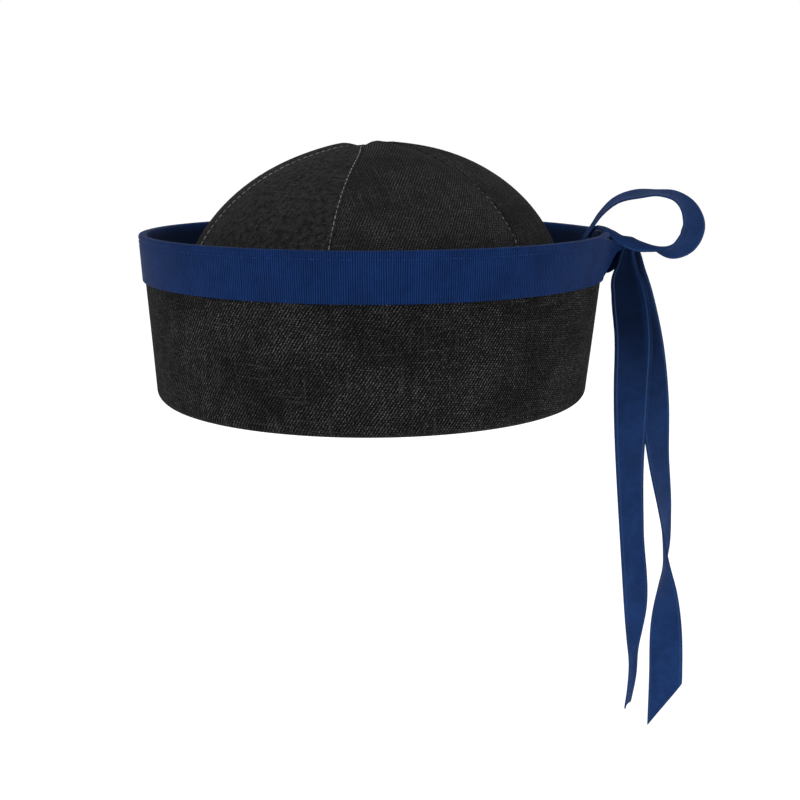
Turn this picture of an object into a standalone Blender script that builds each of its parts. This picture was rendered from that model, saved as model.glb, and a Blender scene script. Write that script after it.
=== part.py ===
"""Sailor cap: a domed crown of six denim gores inside an upturned denim brim, with a grosgrain
binding over the rim whose two ends are tied at the back in a bow with one loop and two tails.

Metres, +Z up. The origin is on the cap's axis at the underside of the brim's base fold. An
azimuth is counted in degrees from -Y, the side that is looked at, round through +X, where the
bow is.
"""

import math
from typing import NamedTuple

import bmesh
import bpy
import numpy as np

# Head opening and brim
HEAD_RADIUS = 0.092
BRIM_HEIGHT = 0.0768
BRIM_CLOTH = 0.0013
BRIM_LEAN_DEG = 3.7
BOW_PULL = 0.0034
BOW_PULL_SPREAD_DEG = 28.0
FOLD_RADIUS = 0.005
LIP_HEIGHT = 0.010

# Binding over the rim
BINDING_HEIGHT = 0.021
BINDING_CLOTH = 0.001
BINDING_TURN = 0.81

# Crown
GORE_COUNT = 6
FIRST_SEAM_DEG = -70.0
GORE_CLOTH = 0.0013
CROWN_HEIGHT = 0.1157
SHOULDER_HEIGHT = 0.042
SHOULDER_SHARE = 0.28
CROWN_TAPER = 0.0059
CROWN_LEAN = 0.0026
SEAM_MEET_OFFSET = 0.0055
APEX_HOLE_RADIUS = 0.0012
PUFF_LOW = 0.0022
PUFF_TOP = 0.0033
PUFF_FADE_RADIUS = 0.013

# Bow
BOW_AZIMUTH_DEG = 86.0
BOW_STAND_OFF = 0.0086
BOW_BELOW_RIM = 0.0076
KNOT_DEPTH = 0.0068
KNOT_WIDTH = 0.0066
KNOT_TALL = 0.008
KNOT_INWARD = 0.0012
KNOT_BEHIND = 0.001
KNOT_DROP = 0.0028
RIBBON_WIDTH = 0.018
RIBBON_CLOTH = 0.001
LOOP_REACH = 0.0318
LOOP_RISE = 0.0248
NEAR_TAIL_LENGTH = 0.228
NEAR_TAIL_SWAY = 0.0105
FAR_TAIL_LENGTH = 0.2465
FAR_TAIL_SWAY = 0.029
NEAR_TAIL_SLANT = 0.014
FAR_TAIL_SLANT = 0.028
TIE_LAP_DEG = 18.0

# Room between pieces that touch
GAP = 0.0003

# Fineness of the surfaces
TURN_STEPS = 72
GORE_ACROSS = 8
GORE_UP = 14
RIBBON_ACROSS = 3


class Gore(NamedTuple):
    """One gore of the soft crown.

    seam_shift_deg is how far round the seam at its start is drawn from its even place. low and
    top are how far it swells between its seams, as shares of the puffs low down and at the top.
    """

    seam_shift_deg: float
    low: float
    top: float


GORES = (
    Gore(seam_shift_deg=-2.0, low=0.9, top=0.25),
    Gore(seam_shift_deg=-1.5, low=1.0, top=1.0),
    Gore(seam_shift_deg=2.5, low=1.0, top=0.9),
    Gore(seam_shift_deg=1.0, low=0.9, top=0.8),
    Gore(seam_shift_deg=0.0, low=0.9, top=0.3),
    Gore(seam_shift_deg=-1.0, low=0.9, top=0.62),
)


class Section(NamedTuple):
    """One section of the loop, from the bow's centre.

    out and up are shares of the piece's reach and rise, along of the ribbon's width, and width is
    the share of its own width that the ribbon keeps there. turn is in degrees about the ribbon's
    run: at 0 it is seen edge on from the side, at 90 or -90 its face is seen.
    """

    out: float
    along: float
    up: float
    turn: float
    width: float


LOOP_SECTIONS = (
    Section(out=-0.545, along=0.44, up=0.10, turn=0, width=0.30),
    Section(out=-0.59, along=0.36, up=0.05, turn=0, width=0.32),
    Section(out=-0.615, along=0.25, up=0.06, turn=1, width=0.36),
    Section(out=-0.60, along=0.20, up=0.16, turn=1, width=0.40),
    Section(out=-0.535, along=0.22, up=0.29, turn=2, width=0.42),
    Section(out=-0.455, along=0.30, up=0.45, turn=3, width=0.42),
    Section(out=-0.355, along=0.38, up=0.62, turn=4, width=0.58),
    Section(out=-0.14, along=0.45, up=0.86, turn=6, width=0.86),
    Section(out=0.17, along=0.48, up=0.98, turn=9, width=1.0),
    Section(out=0.46, along=0.48, up=1.00, turn=6, width=1.0),
    Section(out=0.72, along=0.44, up=0.94, turn=15, width=1.0),
    Section(out=0.935, along=0.38, up=0.68, turn=33, width=1.0),
    Section(out=0.985, along=0.30, up=0.365, turn=45, width=1.0),
    Section(out=0.88, along=0.22, up=0.12, turn=47, width=1.0),
    Section(out=0.66, along=0.15, up=0.02, turn=28, width=0.92),
    Section(out=0.46, along=0.09, up=0.00, turn=4, width=0.72),
    Section(out=0.28, along=0.00, up=0.045, turn=-18, width=0.58),
    Section(out=0.085, along=-0.10, up=0.11, turn=-34, width=0.56),
    Section(out=-0.07, along=-0.06, up=0.18, turn=-30, width=0.50),
    Section(out=-0.22, along=0.10, up=0.375, turn=-16, width=0.40),
    Section(out=-0.34, along=0.24, up=0.435, turn=-6, width=0.34),
    Section(out=-0.43, along=0.34, up=0.42, turn=-2, width=0.32),
    Section(out=-0.49, along=0.40, up=0.34, turn=0, width=0.30),
    Section(out=-0.52, along=0.43, up=0.24, turn=0, width=0.28),
)


class TailSection(NamedTuple):
    """One section of a hanging tail, from the bow's centre.

    drop is a share of the tail's length, out of its sway and along of the ribbon's width. turn
    and width are as in a Section.
    """

    drop: float
    out: float
    along: float
    turn: float
    width: float


NEAR_TAIL_SECTIONS = (
    TailSection(drop=0.003, out=0.09, along=-0.20, turn=80, width=0.20),
    TailSection(drop=0.012, out=0.03, along=-0.27, turn=82, width=0.28),
    TailSection(drop=0.034, out=-0.02, along=-0.29, turn=84, width=0.52),
    TailSection(drop=0.060, out=-0.04, along=-0.30, turn=84, width=0.80),
    TailSection(drop=0.091, out=0.10, along=-0.31, turn=84, width=0.93),
    TailSection(drop=0.172, out=0.36, along=-0.36, turn=84, width=0.98),
    TailSection(drop=0.289, out=0.40, along=-0.33, turn=78, width=1.0),
    TailSection(drop=0.435, out=0.45, along=-0.31, turn=56, width=1.0),
    TailSection(drop=0.601, out=0.68, along=-0.31, turn=46, width=1.0),
    TailSection(drop=0.757, out=0.93, along=-0.31, turn=40, width=1.0),
    TailSection(drop=0.844, out=0.93, along=-0.31, turn=17, width=1.0),
    TailSection(drop=0.932, out=0.95, along=-0.31, turn=15, width=1.0),
    TailSection(drop=1.000, out=0.72, along=-0.32, turn=22, width=1.0),
)

FAR_TAIL_SECTIONS = (
    TailSection(drop=0.003, out=0.17, along=0.09, turn=66, width=0.20),
    TailSection(drop=0.013, out=0.19, along=0.16, turn=66, width=0.32),
    TailSection(drop=0.034, out=0.21, along=0.26, turn=64, width=0.46),
    TailSection(drop=0.060, out=0.22, along=0.32, turn=62, width=0.68),
    TailSection(drop=0.093, out=0.28, along=0.36, turn=56, width=0.86),
    TailSection(drop=0.190, out=0.46, along=0.38, turn=56, width=1.0),
    TailSection(drop=0.298, out=0.58, along=0.40, turn=56, width=1.0),
    TailSection(drop=0.415, out=0.69, along=0.40, turn=40, width=1.0),
    TailSection(drop=0.532, out=0.84, along=0.40, turn=23, width=1.0),
    TailSection(drop=0.620, out=0.89, along=0.40, turn=5, width=1.0),
    TailSection(drop=0.688, out=0.92, along=0.40, turn=-24, width=1.0),
    TailSection(drop=0.776, out=0.95, along=0.40, turn=-54, width=1.0),
    TailSection(drop=0.883, out=0.98, along=0.40, turn=-60, width=1.0),
    TailSection(drop=1.000, out=0.98, along=0.40, turn=-57, width=1.0),
)


class Tie(NamedTuple):
    """How a tie goes from the rim to the knot.

    side is -1 on the near side of the bow and 1 on the far side. leave_deg is how far from the
    bow it leaves the binding. out, along and up place its end on the knot, as shares of the
    knot's half sizes. arrive_out and arrive_along are the way that it heads there. rise_by is the
    share of the free way by which it has risen to the knot. gather_from is the share past which
    its width falls, and gathered is the share of the binding's height that is left of it.
    """

    side: int
    leave_deg: float
    out: float
    along: float
    up: float
    arrive_out: float
    arrive_along: float
    rise_by: float
    gather_from: float
    gathered: float


NEAR_TIE = Tie(
    side=-1,
    leave_deg=17,
    out=-0.53,
    along=-1,
    up=0.62,
    arrive_out=0.5,
    arrive_along=0.6,
    rise_by=0.8,
    gather_from=0.0,
    gathered=0.12,
)
FAR_TIE = Tie(
    side=1,
    leave_deg=14,
    out=-0.24,
    along=1,
    up=-0.05,
    arrive_out=0.4,
    arrive_along=-0.8,
    rise_by=1.0,
    gather_from=0.45,
    gathered=0.45,
)


class Cloth(NamedTuple):
    """A cloth's colour, linear, and its surface."""

    colour: tuple
    roughness: float
    sheen: float


BRIM_DENIM = Cloth(colour=(0.014, 0.014, 0.015), roughness=0.92, sheen=0.2)
CROWN_DENIM = Cloth(colour=(0.019, 0.019, 0.020), roughness=0.92, sheen=0.2)
GROSGRAIN = Cloth(colour=(0.008, 0.025, 0.095), roughness=0.7, sheen=0.3)
BOW_RIBBON = Cloth(colour=(0.010, 0.030, 0.105), roughness=0.65, sheen=0.3)

LEAN = math.radians(BRIM_LEAN_DEG)
UP = np.array((0.0, 0.0, 1.0))


def outward(azimuth_deg):
    """The level direction away from the axis at an azimuth."""
    angle = math.radians(azimuth_deg)
    return np.array((math.sin(angle), -math.cos(angle), 0.0))


def onward(azimuth_deg):
    """The level direction round the cap at an azimuth, towards higher azimuths."""
    angle = math.radians(azimuth_deg)
    return np.array((math.cos(angle), math.sin(angle), 0.0))


def clear_scene():
    for thing in list(bpy.data.objects):
        bpy.data.objects.remove(thing, do_unlink=True)


def new_collection(name):
    collection = bpy.data.collections.new(name)
    bpy.context.scene.collection.children.link(collection)
    return collection


def cloth_material(name, cloth):
    material = bpy.data.materials.new(name)
    material.use_nodes = True
    shader = material.node_tree.nodes["Principled BSDF"]
    shader.inputs["Base Color"].default_value = (*cloth.colour, 1.0)
    shader.inputs["Roughness"].default_value = cloth.roughness
    shader.inputs["Metallic"].default_value = 0.0
    shader.inputs["Sheen Weight"].default_value = cloth.sheen
    material.diffuse_color = (*cloth.colour, 1.0)
    return material


def new_piece(collection, name, mesh_tool, cloth):
    """An object from the bmesh that mesh_tool holds, in its own cloth."""
    mesh = bpy.data.meshes.new(name)
    mesh_tool.to_mesh(mesh)
    mesh_tool.free()
    mesh.shade_smooth()
    mesh.materials.append(cloth_material(name + "_cloth", cloth))
    piece = bpy.data.objects.new(name, mesh)
    collection.objects.link(piece)
    return piece


def thicken(piece, cloth_thickness, offset):
    """Gives an open surface its cloth's thickness."""
    wall = piece.modifiers.new("wall", "SOLIDIFY")
    wall.thickness = cloth_thickness
    wall.offset = offset
    wall.use_even_offset = True
    wall.use_rim = True


def bow_pull(azimuth_deg, height):
    """How far the knot's ties draw the brim out, at an azimuth and a height.

    The pull is a bell curve round the bow, and grows evenly from the base fold up.
    """
    away = (azimuth_deg - BOW_AZIMUTH_DEG + 180.0) % 360.0 - 180.0
    climb = max(0.0, height - FOLD_RADIUS) / (BRIM_HEIGHT - FOLD_RADIUS)
    return BOW_PULL * climb * math.exp(-((away / BOW_PULL_SPREAD_DEG) ** 2))


def turned_cloth(collection, name, path, cloth_thickness, cloth):
    """Spins an open path of (radius, height) about the axis, draws it out at the bow, and walls it."""
    mesh_tool = bmesh.new()
    points = [mesh_tool.verts.new((radius, 0.0, height)) for radius, height in path]
    lines = [mesh_tool.edges.new(pair) for pair in zip(points, points[1:])]
    bmesh.ops.spin(
        mesh_tool,
        geom=points + lines,
        axis=(0.0, 0.0, 1.0),
        cent=(0.0, 0.0, 0.0),
        angle=math.tau,
        steps=TURN_STEPS,
        use_merge=True,
    )
    for point in mesh_tool.verts:
        azimuth = math.degrees(math.atan2(point.co.x, -point.co.y))
        radius = math.hypot(point.co.x, point.co.y)
        drawn = 1 + bow_pull(azimuth, point.co.z) / radius
        point.co.x *= drawn
        point.co.y *= drawn
    piece = new_piece(collection, name, mesh_tool, cloth)
    thicken(piece, cloth_thickness, 0.0)
    return piece


def sheet_grid(across, up, place):
    """A grid whose points place(u, v) puts in space, with u and v arrays from 0 to 1."""
    mesh_tool = bmesh.new()
    bmesh.ops.create_grid(mesh_tool, x_segments=across, y_segments=up, size=0.5)
    flat = np.array([point.co[:] for point in mesh_tool.verts])
    placed = place(flat[:, 0] + 0.5, flat[:, 1] + 0.5)
    for point, position in zip(mesh_tool.verts, placed):
        point.co = position
    return mesh_tool


def smoothstep(share):
    share = np.clip(share, 0.0, 1.0)
    return share * share * (3.0 - 2.0 * share)


def brim_path():
    """The middle of the brim's cloth: down the inner lip, round the base fold and up to the rim."""
    roll = FOLD_RADIUS - BRIM_CLOTH / 2
    centre = HEAD_RADIUS + FOLD_RADIUS
    path = [(centre - roll, LIP_HEIGHT)]
    for angle in np.linspace(math.pi, math.tau - LEAN, 9):
        path.append((centre + roll * math.cos(angle), FOLD_RADIUS + roll * math.sin(angle)))
    base_radius, base_height = path[-1]
    top = rim_centre_height()
    for share in (0.33, 0.67, 1.0):
        height = base_height + (top - base_height) * share
        path.append((base_radius + (height - base_height) * math.tan(LEAN), height))
    return path


def binding_stand_off():
    """From the middle of the brim's cloth to the middle of the binding's."""
    return BRIM_CLOTH / 2 + GAP + BINDING_CLOTH / 2


def rim_centre_height():
    """The height of the brim cloth's own top edge, below the binding that covers it."""
    return BRIM_HEIGHT - BINDING_CLOTH - GAP


def wall_radius(height):
    """The radius of the middle of the brim's cloth at a height on the wall."""
    roll = FOLD_RADIUS - BRIM_CLOTH / 2
    base_radius = HEAD_RADIUS + FOLD_RADIUS + roll * math.cos(LEAN)
    base_height = FOLD_RADIUS - roll * math.sin(LEAN)
    return base_radius + (height - base_height) * math.tan(LEAN)


def binding_radius(height):
    """The radius of the binding's outer face at a height."""
    return wall_radius(height) + (binding_stand_off() + BINDING_CLOTH / 2) / math.cos(LEAN)


def binding_path():
    """The middle of the binding's cloth: up inside the brim, over the rim and down outside.

    Over the rim it is a square turn with its corners taken off, at the turn's share of both half
    sizes.
    """
    stand = binding_stand_off()
    top = rim_centre_height()
    low = BRIM_HEIGHT - BINDING_HEIGHT
    across = np.array((math.cos(LEAN), -math.sin(LEAN)))
    rise = np.array((math.sin(LEAN), math.cos(LEAN)))
    rim = np.array((wall_radius(top), top))
    foot = np.array((wall_radius(low), low))
    corner = GAP + BINDING_CLOTH / 2
    path = [foot - stand * across, (foot + rim) / 2 - stand * across, rim - stand * across]
    path.append(rim + BINDING_TURN * (corner * rise - stand * across))
    path.append(rim + corner * rise)
    path.append(rim + BINDING_TURN * (corner * rise + stand * across))
    path += [rim + stand * across, (foot + rim) / 2 + stand * across, foot + stand * across]
    return [tuple(point) for point in path]


def crown_base_radius():
    """The radius of the gores' outer face at their lower edge, inside the base fold."""
    facet_room = (HEAD_RADIUS + BRIM_CLOTH) * (1 - math.cos(math.pi / GORE_COUNT / GORE_ACROSS))
    return HEAD_RADIUS + BRIM_CLOTH + GAP + facet_room + GORE_CLOTH


def crown_meridian(share):
    """Radius, height and outward lean of the crown's seam line, for shares from base to apex.

    The gore stands straight in the base fold as far as the lip's top edge, then eases in by the
    taper as far as the shoulder, which is at the shoulder's share. Above that the line is a
    quarter ellipse whose half axes are the shoulder's radius and the rise to the apex. The lean
    is the unit normal's radial and upward parts.
    """
    foot = FOLD_RADIUS + 2 * GAP
    shoulder_radius = crown_base_radius() - CROWN_TAPER
    rise = CROWN_HEIGHT - SHOULDER_HEIGHT
    below = np.clip(share / SHOULDER_SHARE, 0.0, 1.0)
    last = math.acos(APEX_HOLE_RADIUS / shoulder_radius)
    angle = last * np.clip((share - SHOULDER_SHARE) / (1 - SHOULDER_SHARE), 0.0, 1.0)
    height = foot + (SHOULDER_HEIGHT - foot) * below + rise * np.sin(angle)
    above_lip = smoothstep((height - LIP_HEIGHT) / (SHOULDER_HEIGHT - LIP_HEIGHT))
    radius = shoulder_radius * np.cos(angle) + CROWN_TAPER * (1 - above_lip)
    normal_radial = np.cos(angle) / shoulder_radius
    normal_up = np.sin(angle) / rise
    length = np.hypot(normal_radial, normal_up)
    return radius, height, normal_radial / length, normal_up / length, np.sin(angle), below


def gore_place(start_deg, end_deg, gore):
    """The outer face of a gore: the crown's seam line swept between two seams and swollen.

    The swelling is a parabola across the gore. It grows from nothing at the base to the low puff
    at the shoulder and the top puff near the apex, and fades where the gores meet. The crown
    leans towards the bow, and its seams meet a little short of the axis.
    """
    middle = math.radians((start_deg + end_deg) / 2)
    half_angle = math.radians((end_deg - start_deg) / 2)
    aside = outward(BOW_AZIMUTH_DEG)

    def place(u, v):
        radius, height, normal_radial, normal_up, climb, below = crown_meridian(v)
        puff = PUFF_LOW * gore.low * (1 - climb) + PUFF_TOP * gore.top * climb
        puff = puff * smoothstep(below) * smoothstep(radius / PUFF_FADE_RADIUS)
        puff = puff * (1 - (2 * u - 1) ** 2)
        seam_room = np.arcsin(GAP / 2 / radius)
        angle = middle + (2 * u - 1) * (half_angle - seam_room)
        reach = radius + puff * normal_radial
        aside_by = CROWN_LEAN * climb - SEAM_MEET_OFFSET * climb**40
        return np.stack(
            (
                reach * np.sin(angle) + aside_by * aside[0],
                -reach * np.cos(angle) + aside_by * aside[1],
                height + puff * normal_up,
            ),
            axis=1,
        )

    return place


def build_crown(collection):
    pitch = 360.0 / GORE_COUNT
    for index in range(GORE_COUNT):
        gore = GORES[index % len(GORES)]
        following = GORES[(index + 1) % GORE_COUNT % len(GORES)]
        start = FIRST_SEAM_DEG + index * pitch + gore.seam_shift_deg
        end = FIRST_SEAM_DEG + (index + 1) * pitch + following.seam_shift_deg
        mesh_tool = sheet_grid(GORE_ACROSS, GORE_UP, gore_place(start, end, gore))
        piece = new_piece(collection, f"crown_gore_{index + 1}", mesh_tool, CROWN_DENIM)
        thicken(piece, GORE_CLOTH, -1.0)


def build_brim(collection):
    turned_cloth(collection, "brim", brim_path(), BRIM_CLOTH, BRIM_DENIM)
    turned_cloth(collection, "brim_binding", binding_path(), BINDING_CLOTH, GROSGRAIN)


def smooth_through(knots, samples):
    """Rows read evenly from a smooth curve through the given rows, each column on its own.

    The parameter is the distance between the rows' first three columns. Each stretch is a cubic
    whose slope at a row is the mean of the slopes on its two sides, weighted by their lengths.
    """
    knots = np.asarray(knots, dtype=float)
    steps = np.linalg.norm(np.diff(knots[:, :3], axis=0), axis=1)
    at = np.concatenate(((0.0,), np.cumsum(steps)))
    slopes = np.diff(knots, axis=0) / steps[:, None]
    inner = slopes[:-1] * steps[1:, None] + slopes[1:] * steps[:-1, None]
    inner = inner / (steps[1:] + steps[:-1])[:, None]
    slopes = np.vstack((slopes[:1], inner, slopes[-1:]))
    wanted = np.clip(samples, 0.0, 1.0) * at[-1]
    left = np.clip(np.searchsorted(at, wanted, side="right") - 1, 0, len(steps) - 1)
    span = steps[left][:, None]
    share = ((wanted - at[left]) / steps[left])[:, None]
    ease_in = share**3 - 2 * share**2 + share
    ease_out = share**3 - share**2
    blend = smoothstep(share)
    return (
        knots[left] * (1 - blend)
        + knots[left + 1] * blend
        + span * (slopes[left] * ease_in + slopes[left + 1] * ease_out)
    )


def ribbon_place(rows, reference, slant):
    """A ribbon carried along its rows of place, turn and width.

    The width lies along the reference direction, squared to the ribbon's run, and is turned
    about the run by the row's turn. The slant shortens one long edge, so that the end is cut
    on the bias.
    """
    length = np.linalg.norm(np.diff(rows[:, :3], axis=0), axis=1).sum()

    def place(u, v):
        cut_edge = u if slant > 0 else 1 - u
        share = v * (1 - abs(slant) / length * cut_edge)
        at = smooth_through(rows, share)
        small = 0.002
        run = smooth_through(rows, share + small)[:, :3] - smooth_through(rows, share - small)[:, :3]
        run = run / np.linalg.norm(run, axis=1)[:, None]
        first = reference - (run @ reference)[:, None] * run
        first = first / np.linalg.norm(first, axis=1)[:, None]
        second = np.cross(run, first)
        turn = np.radians(at[:, 3])[:, None]
        width_way = np.cos(turn) * first + np.sin(turn) * second
        return at[:, :3] + (u[:, None] - 0.5) * at[:, 4:5] * width_way

    return place


def build_ribbon(collection, name, rows, reference, pieces_long, slant=0.0, cloth=BOW_RIBBON):
    rows = np.array(rows, dtype=float)
    mesh_tool = sheet_grid(RIBBON_ACROSS, pieces_long, ribbon_place(rows, reference, slant))
    piece = new_piece(collection, name, mesh_tool, cloth)
    thicken(piece, RIBBON_CLOTH, 0.0)
    return piece


def from_bow(out, along, up):
    """A place given in metres from the bow's centre, out from the cap, round it and up.

    The centre stands off the binding's outer face at its own height.
    """
    height = BRIM_HEIGHT - BOW_BELOW_RIM
    reach = binding_radius(height) + bow_pull(BOW_AZIMUTH_DEG, height) + BOW_STAND_OFF + out
    return (
        reach * outward(BOW_AZIMUTH_DEG)
        + along * onward(BOW_AZIMUTH_DEG)
        + (height + up) * UP
    )


def from_knot(out, along, up):
    """A place given in metres from the knot's centre, under the ribbon that winds over it."""
    return from_bow(out - KNOT_INWARD, along + KNOT_BEHIND, up - KNOT_DROP)


def build_knot(collection):
    """A cube softened to a rounded lump of the knot's three sizes."""
    mesh_tool = bmesh.new()
    bmesh.ops.create_cube(mesh_tool, size=1.0)
    # Two rounds of subdivision draw a cube's faces in to this share of its size.
    drawn_in = 0.8
    for point in mesh_tool.verts:
        out, along, up = point.co
        point.co = from_knot(
            out * KNOT_DEPTH / drawn_in, along * KNOT_WIDTH / drawn_in, up * KNOT_TALL / drawn_in
        )
    piece = new_piece(collection, "bow_knot", mesh_tool, BOW_RIBBON)
    soften = piece.modifiers.new("soften", "SUBSURF")
    soften.levels = 2
    soften.render_levels = 2


def build_loop(collection):
    """The loop rises from the gap behind the rim, swings out and comes back over the knot."""
    rows = []
    for row in LOOP_SECTIONS:
        place = from_bow(row.out * LOOP_REACH, row.along * RIBBON_WIDTH, row.up * LOOP_RISE)
        rows.append((*place, row.turn, row.width * RIBBON_WIDTH))
    build_ribbon(collection, "bow_loop", rows, onward(BOW_AZIMUTH_DEG), 56)


def build_tail(collection, name, sections, length, sway, slant):
    """A tail is gathered at the knot and hangs down its length."""
    rows = []
    for row in sections:
        place = from_bow(row.out * sway, row.along * RIBBON_WIDTH, -row.drop * length)
        rows.append((*place, row.turn, row.width * RIBBON_WIDTH))
    build_ribbon(collection, name, rows, onward(BOW_AZIMUTH_DEG), 40, slant=slant)


def build_tails(collection):
    """The near tail hangs in front of the far one, and each is cut at its own slant."""
    build_tail(
        collection, "tail_near", NEAR_TAIL_SECTIONS, NEAR_TAIL_LENGTH, NEAR_TAIL_SWAY, NEAR_TAIL_SLANT
    )
    build_tail(
        collection, "tail_far", FAR_TAIL_SECTIONS, FAR_TAIL_LENGTH, FAR_TAIL_SWAY, -FAR_TAIL_SLANT
    )


def tie_rows(tie):
    """A tie lies on the binding for its lap, leaves it at a tangent and is gathered at the knot.

    The free way is a cubic from where it leaves, along the rim, to the knot, along the way that
    it arrives, with both slopes as long as the straight way between.
    """
    middle = BRIM_HEIGHT - BINDING_HEIGHT / 2
    lift_off = GAP + RIBBON_CLOTH / 2
    pull_lean = math.degrees(math.atan(BOW_PULL / (BRIM_HEIGHT - FOLD_RADIUS)))
    lean = -tie.side * (BRIM_LEAN_DEG + pull_lean)
    rows = []
    for lap in (1.0, 0.75, 0.5, 0.25, 0.0):
        azimuth = BOW_AZIMUTH_DEG + tie.side * (tie.leave_deg + TIE_LAP_DEG * lap)
        radius = binding_radius(middle) + bow_pull(azimuth, middle) + 1.5 * lift_off
        rows.append((*(radius * outward(azimuth) + middle * UP), lean, BINDING_HEIGHT))
    leave = np.array(rows[-1][:3])
    leave_way = -tie.side * onward(BOW_AZIMUTH_DEG + tie.side * tie.leave_deg)
    end = from_knot(
        tie.out * KNOT_DEPTH / 2, tie.along * (KNOT_WIDTH / 2 + lift_off), tie.up * KNOT_TALL / 2
    )
    arrive_way = tie.arrive_out * outward(BOW_AZIMUTH_DEG) + tie.arrive_along * onward(BOW_AZIMUTH_DEG)
    straight = np.linalg.norm(end - leave)
    for way in (0.2, 0.4, 0.6, 0.8, 1.0):
        place = (
            leave * (1 - smoothstep(way))
            + end * smoothstep(way)
            + straight * leave_way * (way**3 - 2 * way**2 + way)
            + straight * arrive_way * (way**3 - way**2)
        )
        risen = smoothstep(way / tie.rise_by)
        place[2] = leave[2] * (1 - risen) + end[2] * risen
        gathering = smoothstep((way - tie.gather_from) / (1 - tie.gather_from))
        width = BINDING_HEIGHT * (1 - (1 - tie.gathered) * gathering)
        rows.append((*place, lean * (1 - way), width))
    return rows


def build_ties(collection):
    """The near tie comes round the near side of the rim, the far tie round the far side."""
    build_ribbon(collection, "ribbon_near_tie", tie_rows(NEAR_TIE), UP, 16, cloth=GROSGRAIN)
    build_ribbon(collection, "ribbon_far_tie", tie_rows(FAR_TIE), UP, 16, cloth=GROSGRAIN)


def main():
    clear_scene()
    cap = new_collection("sailor_cap")
    build_crown(cap)
    build_brim(cap)
    build_ties(cap)
    build_knot(cap)
    build_loop(cap)
    build_tails(cap)


main()
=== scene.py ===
"""Sailor cap: black denim crown and upturned brim, blue grosgrain binding, bow and tails.

Everything is in metres, +Z up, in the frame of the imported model. An azimuth is counted in degrees
from -Y, the side that the camera sees, round through +X, where the bow is.
"""

import logging
import math
from dataclasses import dataclass, replace
from enum import Enum

import bmesh
import bpy
import numpy as np
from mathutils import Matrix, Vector


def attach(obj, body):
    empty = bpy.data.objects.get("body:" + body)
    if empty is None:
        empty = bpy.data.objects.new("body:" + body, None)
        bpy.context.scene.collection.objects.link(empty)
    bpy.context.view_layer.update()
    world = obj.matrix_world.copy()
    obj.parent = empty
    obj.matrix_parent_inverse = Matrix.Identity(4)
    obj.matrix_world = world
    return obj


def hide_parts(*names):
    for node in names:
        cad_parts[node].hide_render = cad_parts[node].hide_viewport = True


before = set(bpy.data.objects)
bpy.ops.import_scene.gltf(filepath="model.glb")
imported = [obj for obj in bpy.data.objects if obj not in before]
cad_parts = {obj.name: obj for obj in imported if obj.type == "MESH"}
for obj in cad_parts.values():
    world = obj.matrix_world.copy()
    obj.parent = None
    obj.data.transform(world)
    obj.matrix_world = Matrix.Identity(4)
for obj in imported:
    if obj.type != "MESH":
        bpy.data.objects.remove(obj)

log = logging.getLogger("sailor_cap")

Points = np.ndarray
Piece = bpy.types.Object
Material = bpy.types.Material
Socket = bpy.types.NodeSocket
Sockets = bpy.types.bpy_prop_collection
Value = Socket | float | tuple[float, ...]
Colour = tuple[float, float, float]
Place = tuple[float, float, float]

UP = np.array((0.0, 0.0, 1.0))


# Numbers on grids.


def smoothstep(share: Points) -> Points:
    """The ease 3s^2 - 2s^3 of a share that is first cut to 0 to 1."""
    share = np.clip(share, 0.0, 1.0)
    return share * share * (3.0 - 2.0 * share)


def outward(azimuth_deg: Points) -> Points:
    """The level unit direction away from the axis, (sin, -cos, 0) of the azimuth."""
    angle = np.radians(azimuth_deg)
    return np.stack((np.sin(angle), -np.cos(angle), np.zeros_like(angle)), axis=-1)


def onward(azimuth_deg: Points) -> Points:
    """The level unit direction round the cap, (cos, sin, 0) of the azimuth."""
    angle = np.radians(azimuth_deg)
    return np.stack((np.cos(angle), np.sin(angle), np.zeros_like(angle)), axis=-1)


def unit(vectors: Points) -> Points:
    """Vectors divided by their lengths."""
    return vectors / np.maximum(np.linalg.norm(vectors, axis=-1, keepdims=True), 1e-12)


def lengths_along(path: Points) -> Points:
    """The running sum of the straight distances between neighbouring points, from 0."""
    steps = np.linalg.norm(np.diff(path, axis=0), axis=-1)
    return np.concatenate((np.zeros((1, *steps.shape[1:])), np.cumsum(steps, axis=0)))


def read_along(at: Points, grid: Points, wanted: Points) -> Points:
    """The grid's rows, which stand at increasing places, read evenly between them at others."""
    return np.stack([np.interp(wanted, at, grid[:, k]) for k in range(3)], axis=1)


def smooth_through(knots: Points, samples: Points) -> Points:
    """Rows read from a cubic through the knots.

    The parameter is the distance between the knots' first three columns, as a share of the whole.
    Each stretch is a cubic whose slope at a knot is the mean of the slopes on its two sides,
    weighted by the other side's length.

    Args:
        knots: One row a knot, its first three columns a place.
        samples: Shares of the whole way, from 0 to 1.

    Returns:
        One row a sample, with the knots' columns.
    """
    steps = np.linalg.norm(np.diff(knots[:, :3], axis=0), axis=1)
    at = np.concatenate(((0.0,), np.cumsum(steps)))
    slopes = np.diff(knots, axis=0) / steps[:, None]
    inner = slopes[:-1] * steps[1:, None] + slopes[1:] * steps[:-1, None]
    inner = inner / (steps[1:] + steps[:-1])[:, None]
    slopes = np.vstack((slopes[:1], inner, slopes[-1:]))
    wanted = np.clip(samples, 0.0, 1.0) * at[-1]
    left = np.clip(np.searchsorted(at, wanted, side="right") - 1, 0, len(steps) - 1)
    span = steps[left][:, None]
    share = ((wanted - at[left]) / steps[left])[:, None]
    blend = smoothstep(share)
    rise_in = share**3 - 2 * share**2 + share
    rise_out = share**3 - share**2
    middle = span * (slopes[left] * rise_in + slopes[left + 1] * rise_out)
    return knots[left] * (1 - blend) + knots[left + 1] * blend + middle


# Meshes.


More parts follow.
